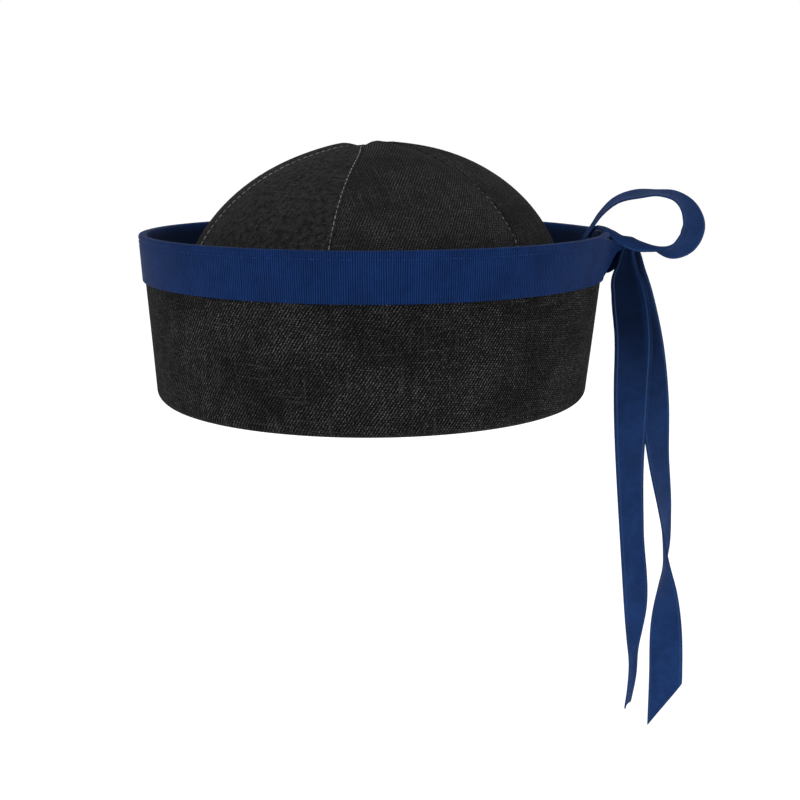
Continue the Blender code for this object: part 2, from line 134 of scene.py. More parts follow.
def linked(name: str, data: bpy.types.ID) -> Piece:
    """A new object for the data, linked to the scene.

    Args:
        name: The object's name.
        data: Its mesh, camera or light.

    Returns:
        The object.
    """
    made = bpy.data.objects.new(name, data)
    bpy.context.scene.collection.objects.link(made)
    return made


def grid_object(name: str, points: Points, uv: Points, wrap: bool = False) -> Piece:
    """A mesh object from a grid of points, its faces outward where rows x columns is.

    Args:
        name: The piece's name.
        points: Rows by columns by 3, in metres.
        uv: The same grid, by 2, with one more row if it wraps.
        wrap: Whether the last row joins the first.

    Returns:
        The object, linked to the scene.
    """
    rows, columns = points.shape[:2]
    index = np.arange(rows * columns).reshape(rows, columns)
    label = np.arange(uv.shape[0] * uv.shape[1]).reshape(uv.shape[:2])
    if wrap:
        index = np.vstack((index, index[:1]))
    corners = [(slice(None, -1), slice(None, -1)), (slice(1, None), slice(None, -1))]
    corners += [(slice(1, None), slice(1, None)), (slice(None, -1), slice(1, None))]
    quads = np.stack([index[corner] for corner in corners], axis=-1).reshape(-1, 4)
    labels = np.stack([label[corner] for corner in corners], axis=-1).reshape(-1)
    mesh = bpy.data.meshes.new(name)
    mesh.vertices.add(rows * columns)
    mesh.vertices.foreach_set("co", points.astype(np.float32).ravel())
    mesh.loops.add(quads.size)
    mesh.loops.foreach_set("vertex_index", quads.astype(np.int32).ravel())
    mesh.polygons.add(len(quads))
    mesh.polygons.foreach_set("loop_start", np.arange(0, quads.size, 4, dtype=np.int32))
    mesh.update(calc_edges=True)
    layer = mesh.uv_layers.new(name="cloth")
    layer.data.foreach_set("uv", uv.reshape(-1, 2)[labels].astype(np.float32).ravel())
    mesh.shade_smooth()
    return linked(name, mesh)


def wall(piece: Piece, thickness: float, offset: float, rounds: int = 0) -> None:
    """Gives an open sheet its cloth's thickness.

    Args:
        piece: The sheet.
        thickness: The cloth's, in metres.
        offset: 0 with the sheet in the cloth's middle, -1 with the sheet as its outer face.
        rounds: Rounds of subdivision that soften its edges.
    """
    solid = piece.modifiers.new("wall", "SOLIDIFY")
    solid.thickness = thickness
    solid.offset = offset
    solid.use_even_offset = True
    solid.use_rim = True
    if rounds:
        soft = piece.modifiers.new("soft edges", "SUBSURF")
        soft.levels = rounds
        soft.render_levels = rounds


@dataclass(frozen=True)
class Stitching:
    """A row of thread stitches on a surface, each bowed up from where it is sunk."""

    pitch: float = 0.0030
    stitch: float = 0.0023
    thread: float = 0.00048
    bow: float = 0.00022
    sink: float = 0.00016

    def capsule(self) -> tuple[Points, list[tuple[int, ...]]]:
        """One stitch along X: rings round a bowed spine, closed by a point at each end.

        A ring's radius is half the thread times the square root of 1 - t^6, and the spine's
        height is the bow times 1 - t^2, less the sink, for t from -1 to 1 along the stitch.

        Returns:
            Its points, and its faces as tuples of indices.
        """
        sides = 6
        t = np.array((-0.9, -0.45, 0.0, 0.45, 0.9))
        turn = np.arange(sides) / sides * math.tau
        radius = self.thread / 2 * np.sqrt(1 - t**6)
        rings = np.zeros((len(t), sides, 3))
        rings[..., 0] = t[:, None] * self.stitch / 2
        rings[..., 1] = radius[:, None] * np.cos(turn)
        rings[..., 2] = radius[:, None] * np.sin(turn)
        rings[..., 2] += (self.bow * (1 - t**2) - self.sink)[:, None]
        ends = np.array(((-self.stitch / 2, 0, -self.sink), (self.stitch / 2, 0, -self.sink)))
        faces = []
        for ring in range(len(t) - 1):
            for side in range(sides):
                following = (side + 1) % sides
                low, high = ring * sides, (ring + 1) * sides
                faces.append((low + side, low + following, high + following, high + side))
        first, last = len(t) * sides, (len(t) - 1) * sides
        faces += [(first, (side + 1) % sides, side) for side in range(sides)]
        faces += [(first + 1, last + side, last + (side + 1) % sides) for side in range(sides)]
        return np.vstack((rings.reshape(-1, 3), ends)), faces

    def row(self, name: str, paths: list[tuple[Points, Points]]) -> Piece:
        """Stitches laid at the pitch along paths.

        Args:
            name: The piece's name.
            paths: Pairs of points and of the surface's outward normals at them.

        Returns:
            One object with every stitch.
        """
        shape, faces = self.capsule()
        made = []
        for path, normals in paths:
            at = lengths_along(path)
            starts = np.arange(self.pitch / 2, at[-1] - self.pitch / 2, self.pitch)
            centre = read_along(at, path, starts)
            front = read_along(at, path, starts + self.stitch / 2)
            ahead = unit(front - read_along(at, path, starts - self.stitch / 2))
            above = read_along(at, normals, starts)
            above = unit(above - (above * ahead).sum(axis=1, keepdims=True) * ahead)
            aside = np.cross(above, ahead)
            axes = np.stack((ahead, aside, above), axis=1)
            made.append(centre[:, None] + np.einsum("vk,nkc->nvc", shape, axes))
        points = np.concatenate(made)
        count, size = points.shape[:2]
        mesh = bpy.data.meshes.new(name)
        every = [tuple(n * size + v for v in face) for n in range(count) for face in faces]
        mesh.from_pydata(points.reshape(-1, 3).tolist(), [], every)
        mesh.shade_smooth()
        return linked(name, mesh)


# Shader node groups.


class Nodes:
    """A short way to lay and join nodes in one tree."""

    def __init__(self, tree: bpy.types.NodeTree) -> None:
        """Takes the tree to work in."""
        self.tree = tree

    def put(self, socket: Socket, value: Value) -> None:
        """Joins a socket to an output, or sets its own value.

        Args:
            socket: The input socket.
            value: An output to join it to, or its own value.
        """
        if isinstance(value, Socket):
            self.tree.links.new(value, socket)
        else:
            socket.default_value = value

    def lay(self, kind: str, *values: Value, **settings: str) -> Sockets:
        """The outputs of a new node whose first inputs are joined or set, with its settings.

        Args:
            kind: The node's type, after ShaderNode.
            values: What its first inputs take.
            settings: Its options by name.

        Returns:
            The node's outputs.
        """
        node = self.tree.nodes.new(f"ShaderNode{kind}")
        for name, setting in settings.items():
            setattr(node, name, setting)
        for socket, value in zip(node.inputs, values):
            self.put(socket, value)
        return node.outputs

    def math(self, operation: str, first: Value, second: Value = 0.0) -> Socket:
        """The result of one operation on two numbers."""
        return self.lay("Math", first, second, operation=operation)[0]

    def times(self, first: Value, second: Value) -> Socket:
        """The product of two numbers."""
        return self.math("MULTIPLY", first, second)

    def plus(self, first: Value, second: Value) -> Socket:
        """The sum of two numbers."""
        return self.math("ADD", first, second)

    def span(
        self, value: Value, low: float, high: float, out_low: float = 0.0, out_high: float = 1.0
    ) -> Socket:
        """The value's place from low to high, eased and cut, read from out_low to out_high."""
        ends = (low, high, out_low, out_high)
        return self.lay("MapRange", value, *ends, interpolation_type="SMOOTHSTEP")[0]

    def wave(self, phase: Value) -> Socket:
        """0.5 + 0.5 sin(2 pi phase)."""
        turned = self.math("SINE", self.times(phase, math.tau))
        return self.times(self.plus(turned, 1.0), 0.5)

    def stretch(self, vector: Value, scale: Value) -> Socket:
        """The vector times a scale for each axis."""
        return self.lay("VectorMath", vector, scale, operation="MULTIPLY")[0]

    def noise(self, vector: Value, scale: Value, detail: float = 2.0) -> Socket:
        """Fractal noise from 0 to 1 at a scale in waves a metre.

        Args:
            vector: Where it is read.
            scale: Waves a metre.
            detail: How many finer layers it has.

        Returns:
            The noise.
        """
        node = self.tree.nodes.new("ShaderNodeTexNoise")
        self.put(node.inputs["Vector"], vector)
        self.put(node.inputs["Scale"], scale)
        node.inputs["Detail"].default_value = detail
        return node.outputs["Fac"]

    def sway(self, vector: Value, scale: float, reach: float, detail: float = 2.0) -> Socket:
        """Fractal noise less a half, times the reach."""
        return self.times(self.math("SUBTRACT", self.noise(vector, scale, detail), 0.5), reach)

    def parts(self, vector: Value) -> Sockets:
        """The vector's x, y and z."""
        return self.lay("SeparateXYZ", vector)

    def vector(self, x: Value, y: Value, z: Value = 0.0) -> Socket:
        """A vector from three numbers."""
        return self.lay("CombineXYZ", x, y, z)[0]

    def shade(self, colour: Value, factor: Value) -> Socket:
        """The colour with each of its channels times the factor."""
        return self.stretch(colour, self.vector(factor, factor, factor))

    def blend(self, share: Value, first: Value, second: Value) -> Socket:
        """The colour that lies at a share of the way from the first to the second.

        Args:
            share: From 0 to 1.
            first: The colour at 0.
            second: The colour at 1.

        Returns:
            The mixed colour.
        """
        node = self.tree.nodes.new("ShaderNodeMix")
        node.data_type = "RGBA"
        self.put(node.inputs[0], share)
        self.put(node.inputs[6], first)
        self.put(node.inputs[7], second)
        return node.outputs[2]

    def group(self, tree: bpy.types.NodeTree, **values: Value) -> Sockets:
        """Places a node group with its inputs joined or set, and gives its outputs.

        Args:
            tree: The group.
            values: Its inputs by name, with _ for a space.

        Returns:
            The group's outputs.
        """
        node = self.tree.nodes.new("ShaderNodeGroup")
        node.node_tree = tree
        for name, value in values.items():
            self.put(node.inputs[name.replace("_", " ")], value)
        return node.outputs


def new_group(
    name: str, inputs: dict[str, float | None], outputs: tuple[str, ...]
) -> tuple[bpy.types.NodeTree, Nodes, Sockets, Sockets]:
    """An empty shader node group.

    Args:
        name: The group's name.
        inputs: Each input's name and first value. None makes a vector.
        outputs: The names of its number outputs.

    Returns:
        The tree, its Nodes, its input sockets and its output node's sockets.
    """
    tree = bpy.data.node_groups.new(name, "ShaderNodeTree")
    for label, value in inputs.items():
        kind = "NodeSocketVector" if value is None else "NodeSocketFloat"
        socket = tree.interface.new_socket(name=label, in_out="INPUT", socket_type=kind)
        if value is not None:
            socket.default_value = value
    for label in outputs:
        tree.interface.new_socket(name=label, in_out="OUTPUT", socket_type="NodeSocketFloat")
    entry = tree.nodes.new("NodeGroupInput").outputs
    end = tree.nodes.new("NodeGroupOutput").inputs
    return tree, Nodes(tree), entry, end


def twill_weave() -> bpy.types.NodeTree:
    """Denim's slanting twill lines, broken into pale thread floats.

    A line is a sine across the slant, with its crest kept. It is cut into floats by a sine along
    the slant whose phase steps from line to line, and thinned by stretched noise.

    Returns:
        The group: Floats is the pale share, Height the thread's relief.
    """
    line_step, float_length, least_kept = 0.39, 0.9, 0.8
    inputs = {"Vector": None, "Angle": 1.0, "Spacing": 0.0012, "Evenness": 0.5}
    tree, nodes, entry, end = new_group("twill_weave", inputs, ("Floats", "Height"))
    turned = tree.nodes.new("ShaderNodeVectorRotate")
    turned.rotation_type = "Z_AXIS"
    nodes.put(turned.inputs["Vector"], entry["Vector"])
    nodes.put(turned.inputs["Angle"], entry["Angle"])
    across, along, _ = nodes.parts(turned.outputs[0])
    drift = nodes.sway(entry["Vector"], 170, 0.0009)
    step = nodes.math("DIVIDE", nodes.plus(across, drift), entry["Spacing"])
    line = nodes.span(nodes.wave(step), 0.42, 1.0)
    shift = nodes.times(nodes.math("FLOOR", nodes.plus(step, 0.25)), line_step)
    beat = nodes.math("DIVIDE", along, nodes.times(entry["Spacing"], float_length))
    floats = nodes.span(nodes.wave(nodes.plus(beat, shift)), 0.1, 0.85, 0.2, 1.0)
    lengthened = nodes.stretch(nodes.vector(across, along), (1.0, 0.7, 1.0))
    kept = nodes.span(nodes.noise(lengthened, 1300, 1.0), 0.42, 0.66)
    kept = nodes.math("MAXIMUM", kept, nodes.times(entry["Evenness"], least_kept))
    nodes.put(end["Floats"], nodes.times(nodes.times(line, floats), kept))
    nodes.put(end["Height"], nodes.times(line, floats))
    return tree


def slub_grain() -> bpy.types.NodeTree:
    """Thick places in the yarns: noise stretched far along the cloth's two thread directions.

    Returns:
        The group: Streaks are long, Specks short.
    """
    inputs = {"Vector": None, "Length": 0.02}
    tree, nodes, entry, end = new_group("slub_grain", inputs, ("Streaks", "Specks"))
    short, other_way = 1500.0, 7.3
    long_way = nodes.math("DIVIDE", 1.0, entry["Length"])
    x, y, _ = nodes.parts(entry["Vector"])
    upright = nodes.vector(nodes.times(x, short), nodes.times(y, long_way))
    level = nodes.vector(nodes.times(x, long_way), nodes.times(y, short), other_way)
    first = nodes.span(nodes.noise(upright, 1.0, 0.0), 0.60, 0.80)
    second = nodes.span(nodes.noise(level, 1.0, 0.0), 0.64, 0.84)
    nodes.put(end["Streaks"], nodes.math("MAXIMUM", first, second))
    nodes.put(end["Specks"], nodes.span(nodes.noise(entry["Vector"], short, 0.0), 0.62, 0.80))
    return tree


def cloth_patches() -> bpy.types.NodeTree:
    """Broad patches, from two sizes of noise, read from 1 less the depth to 1 plus the depth.

    Returns:
        The group: Factor is the shade.
    """
    inputs = {"Vector": None, "Size": 0.02, "Depth": 0.3}
    tree, nodes, entry, end = new_group("cloth_patches", inputs, ("Factor",))
    finer, broad_share = 4.3, 0.6
    waves = nodes.math("DIVIDE", 1.0, entry["Size"])
    broad = nodes.noise(entry["Vector"], waves, 1.0)
    fine = nodes.noise(entry["Vector"], nodes.times(waves, finer))
    both = nodes.plus(nodes.times(broad, broad_share), nodes.times(fine, 1 - broad_share))
    spread = nodes.span(both, 0.32, 0.68, -1.0, 1.0)
    nodes.put(end["Factor"], nodes.plus(nodes.times(spread, entry["Depth"]), 1.0))
    return tree


def rib_weave() -> bpy.types.NodeTree:
    """Grosgrain's ribs: a sine along the ribbon, its valleys narrowed, a little uneven.

    Returns:
        The group: Ribs run across the ribbon, Threads are the warp over them.
    """
    inputs = {"Vector": None, "Pitch": 0.0011}
    tree, nodes, entry, end = new_group("rib_weave", inputs, ("Ribs", "Threads"))
    along, across, _ = nodes.parts(entry["Vector"])
    drift = nodes.sway(nodes.vector(along, nodes.times(across, 0.15)), 420, 0.0007, 1.0)
    step = nodes.math("DIVIDE", nodes.plus(along, drift), entry["Pitch"])
    nodes.put(end["Ribs"], nodes.span(nodes.wave(step), 0.0, 0.75))
    fine = nodes.math("DIVIDE", across, nodes.times(entry["Pitch"], 0.45))
    half = nodes.times(nodes.math("FLOOR", step), 0.5)
    nodes.put(end["Threads"], nodes.wave(nodes.plus(fine, half)))
    return tree


def edge_lines() -> bpy.types.NodeTree:
    """A narrow line on both sides of a ribbon, where the distance from its middle is the place.

    Returns:
        The group: Line is 1 on the line.
    """
    inputs = {"Vector": None, "Place": 0.008, "Width": 0.0007}
    tree, nodes, entry, end = new_group("edge_lines", inputs, ("Line",))
    _, across, _ = nodes.parts(entry["Vector"])
    past = nodes.math("SUBTRACT", nodes.math("ABSOLUTE", across), entry["Place"])
    away = nodes.math("DIVIDE", nodes.math("ABSOLUTE", past), entry["Width"])
    nodes.put(end["Line"], nodes.math("SUBTRACT", 1.0, nodes.span(away, 0.2, 1.0)))
    return tree


class Weaves:
    """The shared node groups, each built once."""

    def __init__(self) -> None:
        """Builds the groups."""
        self.twill = twill_weave()
        self.slub = slub_grain()
        self.patches = cloth_patches()
        self.ribs = rib_weave()
        self.edges = edge_lines()


def set_inputs(shader: bpy.types.Node, **values: Value) -> None:
    """Sets a shader's inputs, each under its name with _ for a space."""
    for name, value in values.items():
        shader.inputs[name.replace("_", " ")].default_value = value


def plain_material(
    name: str, roughness: float, sheen: float, tint: Colour, gloss: float
) -> tuple[Material, Nodes, bpy.types.Node, Socket]:
    """A material with one Principled shader, and what is needed to dress it.

    Args:
        name: The material's name.
        roughness: The shader's roughness.
        sheen: The weight of its fuzz.
        tint: The fuzz's colour.
        gloss: The shader's specular level.

    Returns:
        The material, its Nodes, its shader and its UV output.
    """
    material = bpy.data.materials.new(name)
    material.use_nodes = True
    shader = material.node_tree.nodes["Principled BSDF"]
    set_inputs(shader, Roughness=roughness, Specular_IOR_Level=gloss)
    set_inputs(shader, Sheen_Weight=sheen, Sheen_Roughness=0.45, Sheen_Tint=(*tint, 1.0))
    nodes = Nodes(material.node_tree)
    place = material.node_tree.nodes.new("ShaderNodeUVMap")
    place.uv_map = "cloth"
    return material, nodes, shader, place.outputs[0]


def add_bump(
    nodes: Nodes, shader: bpy.types.Node, height: Value, distance: float, strength: float
) -> None:
    """Joins a height to the shader's normal through a Bump node.

    Args:
        nodes: The material's Nodes.
        shader: Its shader.
        height: The height, about 0 to 1.
        distance: Its depth in metres.
        strength: How far it acts, from 0 to 1.
    """
    bump = nodes.tree.nodes.new("ShaderNodeBump")
    set_inputs(bump, Strength=strength, Distance=distance)
    nodes.put(bump.inputs["Height"], height)
    nodes.put(shader.inputs["Normal"], bump.outputs[0])


@dataclass(frozen=True)
class DenimFinish:
    """Black denim: dark warp with pale floats on its twill lines.

    twill, streaks, specks and mottle are how far each of them brings the cloth to the pale colour.
    """

    name: str
    dark: Colour = (0.0026, 0.0026, 0.0028)
    pale: Colour = (0.115, 0.115, 0.118)
    twill: float = 0.75
    evenness: float = 0.3
    angle_deg: float = 34.5
    spacing: float = 0.00122
    streaks: float = 0.10
    specks: float = 0.22
    patch_depth: float = 0.55
    patch_size: float = 0.034
    mottle: float = 0.012
    mottle_size: float = 0.0026
    slub_length: float = 0.018
    sheen: float = 0.010
    fuzz: Colour = (0.8, 0.8, 0.85)
    gloss: float = 0.015
    relief: float = 0.8
    relief_depth: float = 0.00022

    def build(self, weaves: Weaves) -> Material:
        """The material.

        The pale share is the floats and the specks, each times the patches, plus the streaks and
        the mottle, and is at most 1.

        Args:
            weaves: The shared groups.

        Returns:
            The material.
        """
        material, nodes, shader, uv = plain_material(
            self.name, 0.9, self.sheen, self.fuzz, self.gloss
        )
        angle = math.radians(self.angle_deg)
        lines = {"Angle": angle, "Spacing": self.spacing, "Evenness": self.evenness}
        twill = nodes.group(weaves.twill, Vector=uv, **lines)
        broad = {"Size": self.patch_size, "Depth": self.patch_depth}
        patches = nodes.group(weaves.patches, Vector=uv, **broad)["Factor"]
        slub = nodes.group(weaves.slub, Vector=uv, Length=self.slub_length)
        floats = nodes.times(nodes.times(twill["Floats"], self.twill), patches)
        grain = nodes.times(slub["Streaks"], self.streaks)
        specks = nodes.times(nodes.times(slub["Specks"], self.specks), patches)
        mottle = nodes.group(weaves.patches, Vector=uv, Size=self.mottle_size, Depth=1.0)["Factor"]
        clouded = nodes.plus(specks, nodes.times(mottle, self.mottle))
        share = nodes.math("MINIMUM", nodes.plus(nodes.plus(floats, grain), clouded), 1.0)
        nodes.put(shader.inputs["Base Color"], nodes.blend(share, (*self.dark, 1), (*self.pale, 1)))
        nodes.put(shader.inputs["Roughness"], nodes.span(twill["Height"], 0.0, 1.0, 0.95, 0.8))
        height = nodes.plus(twill["Height"], nodes.times(slub["Streaks"], 0.6))
        add_bump(nodes, shader, height, self.relief_depth, self.relief)
        return material


@dataclass(frozen=True)
class GrosgrainFinish:
    """Blue grosgrain: fine ribs across the ribbon, painted darker between them for the shade in
    their grooves, a little cloudy.

    The cloth past its middle line, inside the brim, goes by a share towards the inside colour, a
    painted shade for the shadowed gap between the brim and the crown.
    The shade at a ribbon's start is a painted shadow, for the shadow of the loop and the knot over
    a tail, and the shade at its free end is a painted lightening, for the light that reaches the
    hanging end.
    """

    name: str
    # The colour between the ribs is painted shade for their grooves.
    rib: Colour = (0.0060, 0.0248, 0.104)
    groove_shade: Colour = (0.0020, 0.0082, 0.036)
    # Painted shade: the colour that the binding's inside half goes to, for the shadow in the gap
    # under the crown.
    inside: Colour = (0.0040, 0.0085, 0.026)
    inside_shade_share: float = 0.0
    # Painted shadow at the ribbon's start, under the loop and knot, and painted lightening at its
    # free end.
    knot_shadow: float = 1.0
    end_light: float = 1.0
    # The edge line is a raised selvedge in the bump; its lighter colour is a painted highlight.
    edge: Colour = (0.030, 0.065, 0.170)
    edge_place: float = 1.0
    edge_width: float = 0.0006
    edge_highlight_share: float = 0.55
    pitch: float = 0.00093
    relief: float = 0.8
    relief_depth: float = 0.00012
    patch_depth: float = 0.16
    patch_size: float = 0.016
    sheen: float = 0.014
    fuzz: Colour = (0.50, 0.64, 1.0)
    gloss: float = 0.03

    def build(self, weaves: Weaves) -> Material:
        """The material.

        The rib colour and the darker colour between the ribs, a painted shade, are mixed by the
        ribs and shaded by the patches.
        The painted shadow near the knot fades out along the ribbon and, by about half, towards its
        far edge.

        Args:
            weaves: The shared groups.

        Returns:
            The material.
        """
        material, nodes, shader, uv = plain_material(
            self.name, 0.62, self.sheen, self.fuzz, self.gloss
        )
        ribs = nodes.group(weaves.ribs, Vector=uv, Pitch=self.pitch)
        broad = {"Size": self.patch_size, "Depth": self.patch_depth}
        patches = nodes.group(weaves.patches, Vector=uv, **broad)["Factor"]
        # The colour between the ribs is painted shade for their grooves.
        cloth = nodes.blend(ribs["Ribs"], (*self.groove_shade, 1), (*self.rib, 1))
        cloth = nodes.shade(cloth, patches)
        along, across, _ = nodes.parts(uv)
        # Painted shadow of the loop and the knot on a tail's start, fading along the ribbon and
        # across it.
        knot_shadow_fade = nodes.span(across, 0.002, 0.008, 0.0, 0.55)
        knot_shadow_fade = nodes.math("MAXIMUM", nodes.span(along, 0.010, 0.11), knot_shadow_fade)
        knot_shadow_factor = nodes.span(knot_shadow_fade, 0.0, 1.0, self.knot_shadow, 1.0)
        # Painted lightening towards a tail's free end, for the light on the hanging end.
        end_light_factor = nodes.span(along, 0.08, 0.21, 1.0, self.end_light)
        cloth = nodes.shade(cloth, nodes.times(knot_shadow_factor, end_light_factor))
        # The selvedge line: raised in the bump, and lighter in colour as a painted highlight.
        place = {"Place": self.edge_place, "Width": self.edge_width}
        line = nodes.group(weaves.edges, Vector=uv, **place)["Line"]
        cloth = nodes.blend(nodes.times(line, self.edge_highlight_share), cloth, (*self.edge, 1))
        # Painted shade on the binding's inside half, for the shadow in the gap between brim and
        # crown.
        if self.inside_shade_share > 0.0:
            inside_shade_mask = nodes.span(across, 0.0018, 0.0055, 0.0, self.inside_shade_share)
            cloth = nodes.blend(inside_shade_mask, cloth, (*self.inside, 1))
        nodes.put(shader.inputs["Base Color"], cloth)
        nodes.put(shader.inputs["Roughness"], nodes.span(ribs["Ribs"], 0.0, 1.0, 0.8, 0.58))
        height = nodes.plus(ribs["Ribs"], nodes.times(ribs["Threads"], 0.35))
        height = nodes.plus(height, nodes.times(line, 1.6))
        add_bump(nodes, shader, height, self.relief_depth, self.relief)
        return material


@dataclass(frozen=True)
class ThreadFinish:
    """Sewing thread: a plain twist of one colour."""

    name: str
    colour: Colour

    def build(self, weaves: Weaves) -> Material:
        """The material: its colour shaded by patches in Object coordinates.

        Args:
            weaves: The shared groups.

        Returns:
            The material.
        """
        material, nodes, shader, _ = plain_material(self.name, 0.7, 0.02, (1, 1, 1), 0.05)
        place = nodes.tree.nodes.new("ShaderNodeTexCoord").outputs["Object"]
        patches = nodes.group(weaves.patches, Vector=place, Size=0.004, Depth=0.35)["Factor"]
        nodes.put(shader.inputs["Base Color"], nodes.shade(self.colour, patches))
        add_bump(nodes, shader, nodes.noise(place, 4000, 1.0), 0.00008, 0.5)
        return material


class Slot(Enum):
    """The record's material slots."""

    BRIM = "brim_denim"
    CROWN = "crown_denim"
    BINDING = "grosgrain_binding"
    BOW = "bow_ribbon"


def finish_piece(piece: Piece, finish: Material, slot: Slot, *nodes: str) -> None:
    """Dresses a piece, lets it ride on the cap and stand for its CAD nodes, and reports it.

    Args:
        piece: The piece.
        finish: Its material.
        slot: Its slot in the record.
        nodes: The CAD nodes that it stands for. A piece of stitches stands for none.
    """
    piece.data.materials.clear()
    piece.data.materials.append(finish)
    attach(piece, "root")
    if nodes:
        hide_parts(*nodes)
    log.info("%s: %d points, %s", piece.name, len(piece.data.vertices), slot.value)


# The cap's own form.


@dataclass(frozen=True)
class CapForm:
    """Sizes that the cap's sub-assemblies share: lengths in metres, angles in degrees."""

    head_radius: float = 0.092
    brim_height: float = 0.0768
    brim_cloth: float = 0.0013
    lean_deg: float = 3.7
    fold_radius: float = 0.005
    lip_height: float = 0.010
    binding_height: float = 0.021
    binding_cloth: float = 0.001
    bow_azimuth: float = 86.0
    bow_pull: float = 0.0034
    pull_spread: float = 28.0
    gap: float = 0.0003

    @property
    def lean(self) -> float:
        """The brim's outward lean, in radians."""
        return math.radians(self.lean_deg)

    @property
    def rim_height(self) -> float:
        """The brim cloth's own top edge, under the binding."""
        return self.brim_height - self.binding_cloth - self.gap

    def pull(self, azimuth: Points, height: Points) -> Points:
        """How far the ties draw the brim out.

        The pull is a bell curve round the bow's azimuth, and grows evenly from the base fold to
        the rim.

        Args:
            azimuth: Degrees round the cap.
            height: Metres above the base.

        Returns:
            Metres outwards.
        """
        away = (azimuth - self.bow_azimuth + 180.0) % 360.0 - 180.0
        climb = np.maximum(0.0, height - self.fold_radius) / (self.brim_height - self.fold_radius)
        return self.bow_pull * climb * np.exp(-((away / self.pull_spread) ** 2))

    def ease(self, azimuth: Points, height: Points) -> Points:
        """The cloth's slight waviness: three sines round the cap, growing up the wall.

        Args:
            azimuth: Degrees round the cap.
            height: Metres above the base.

        Returns:
            Metres outwards.
        """
        angle = np.radians(azimuth)
        climb = np.clip(height / self.brim_height, 0.0, 1.0)
        broad = 0.00030 * np.sin(3 * angle + 0.7) + 0.00016 * np.sin(7 * angle + 2.1)
        return climb * (broad + 0.00007 * np.sin(17 * angle + 9 * climb))

    def wall_radius(self, height: Points) -> Points:
        """The middle of the brim's cloth: the base fold's reach plus the height times tan(lean).

        Args:
            height: Metres above the base.

        Returns:
            The radius in metres.
        """
        roll = self.fold_radius - self.brim_cloth / 2
        base = self.head_radius + self.fold_radius + roll * math.cos(self.lean)
        foot = self.fold_radius - roll * math.sin(self.lean)
        return base + (height - foot) * math.tan(self.lean)

    def binding_radius(self, height: Points) -> Points:
        """The binding's outer face: the wall plus half of both cloths, the gap and the binding."""
        stand = self.brim_cloth / 2 + self.gap + self.binding_cloth
        return self.wall_radius(height) + stand / math.cos(self.lean)

    def binding_reach(self, azimuth: Points, height: Points) -> Points:
        """The binding's outer face where it is drawn out and wavy: its radius, pull and ease."""
        return self.binding_radius(height) + self.pull(azimuth, height) + self.ease(azimuth, height)

    def around(self, radius: Points, height: Points, turns: int) -> tuple[Points, Points]:
        """A profile carried round the axis, drawn out at the bow and made a little wavy.

        Args:
            radius: The profile's radii.
            height: The profile's heights.
            turns: How many places round the axis.

        Returns:
            Points, turns by profile by 3, and UVs in metres, round and along the profile, with
            one more row.
        """
        azimuth = np.arange(turns + 1) / turns * 360.0 - 180.0
        at, rise = np.meshgrid(azimuth, height, indexing="ij")
        reach = radius[None, :] + self.pull(at, rise) + self.ease(at, rise)
        points = reach[..., None] * outward(at) + rise[..., None] * UP
        run = lengths_along(np.stack((radius, height), axis=1))
        around = np.radians(azimuth) * float(radius.max())
        uv = np.stack(np.meshgrid(around, run - run[-1] / 2, indexing="ij"), axis=-1)
        return points[:-1], uv


@dataclass
class Brim:
    """The upturned denim brim: one cloth, rolled under at the base, its lip round the gores."""

    form: CapForm
    turns: int = 240

    def profile(self) -> tuple[Points, Points]:
        """The middle of the cloth: down the lip, round the fold's arc and up the leaning wall.

        Returns:
            Radii and heights.
        """
        form = self.form
        roll = form.fold_radius - form.brim_cloth / 2
        centre = form.head_radius + form.fold_radius
        angle = np.linspace(math.pi, math.tau - form.lean, 22)
        arc_radius = centre + roll * np.cos(angle)
        arc_height = form.fold_radius + roll * np.sin(angle)
        lip = np.linspace(form.lip_height, form.fold_radius, 4)[:-1]
        height = np.linspace(arc_height[-1], form.rim_height, 26)[1:]
        inner = np.full(len(lip), centre - roll)
        radius = np.concatenate((inner, arc_radius, form.wall_radius(height)))
        return radius, np.concatenate((lip, arc_height, height))

    def build(self, finish: Material) -> None:
        """Turns the profile and walls it.

        Args:
            finish: The brim's material.
        """
        points, uv = self.form.around(*self.profile(), self.turns)
        piece = grid_object("brim_denim_wall", points, uv, wrap=True)
        wall(piece, self.form.brim_cloth, 0.0)
        finish_piece(piece, finish, Slot.BRIM, "brim")


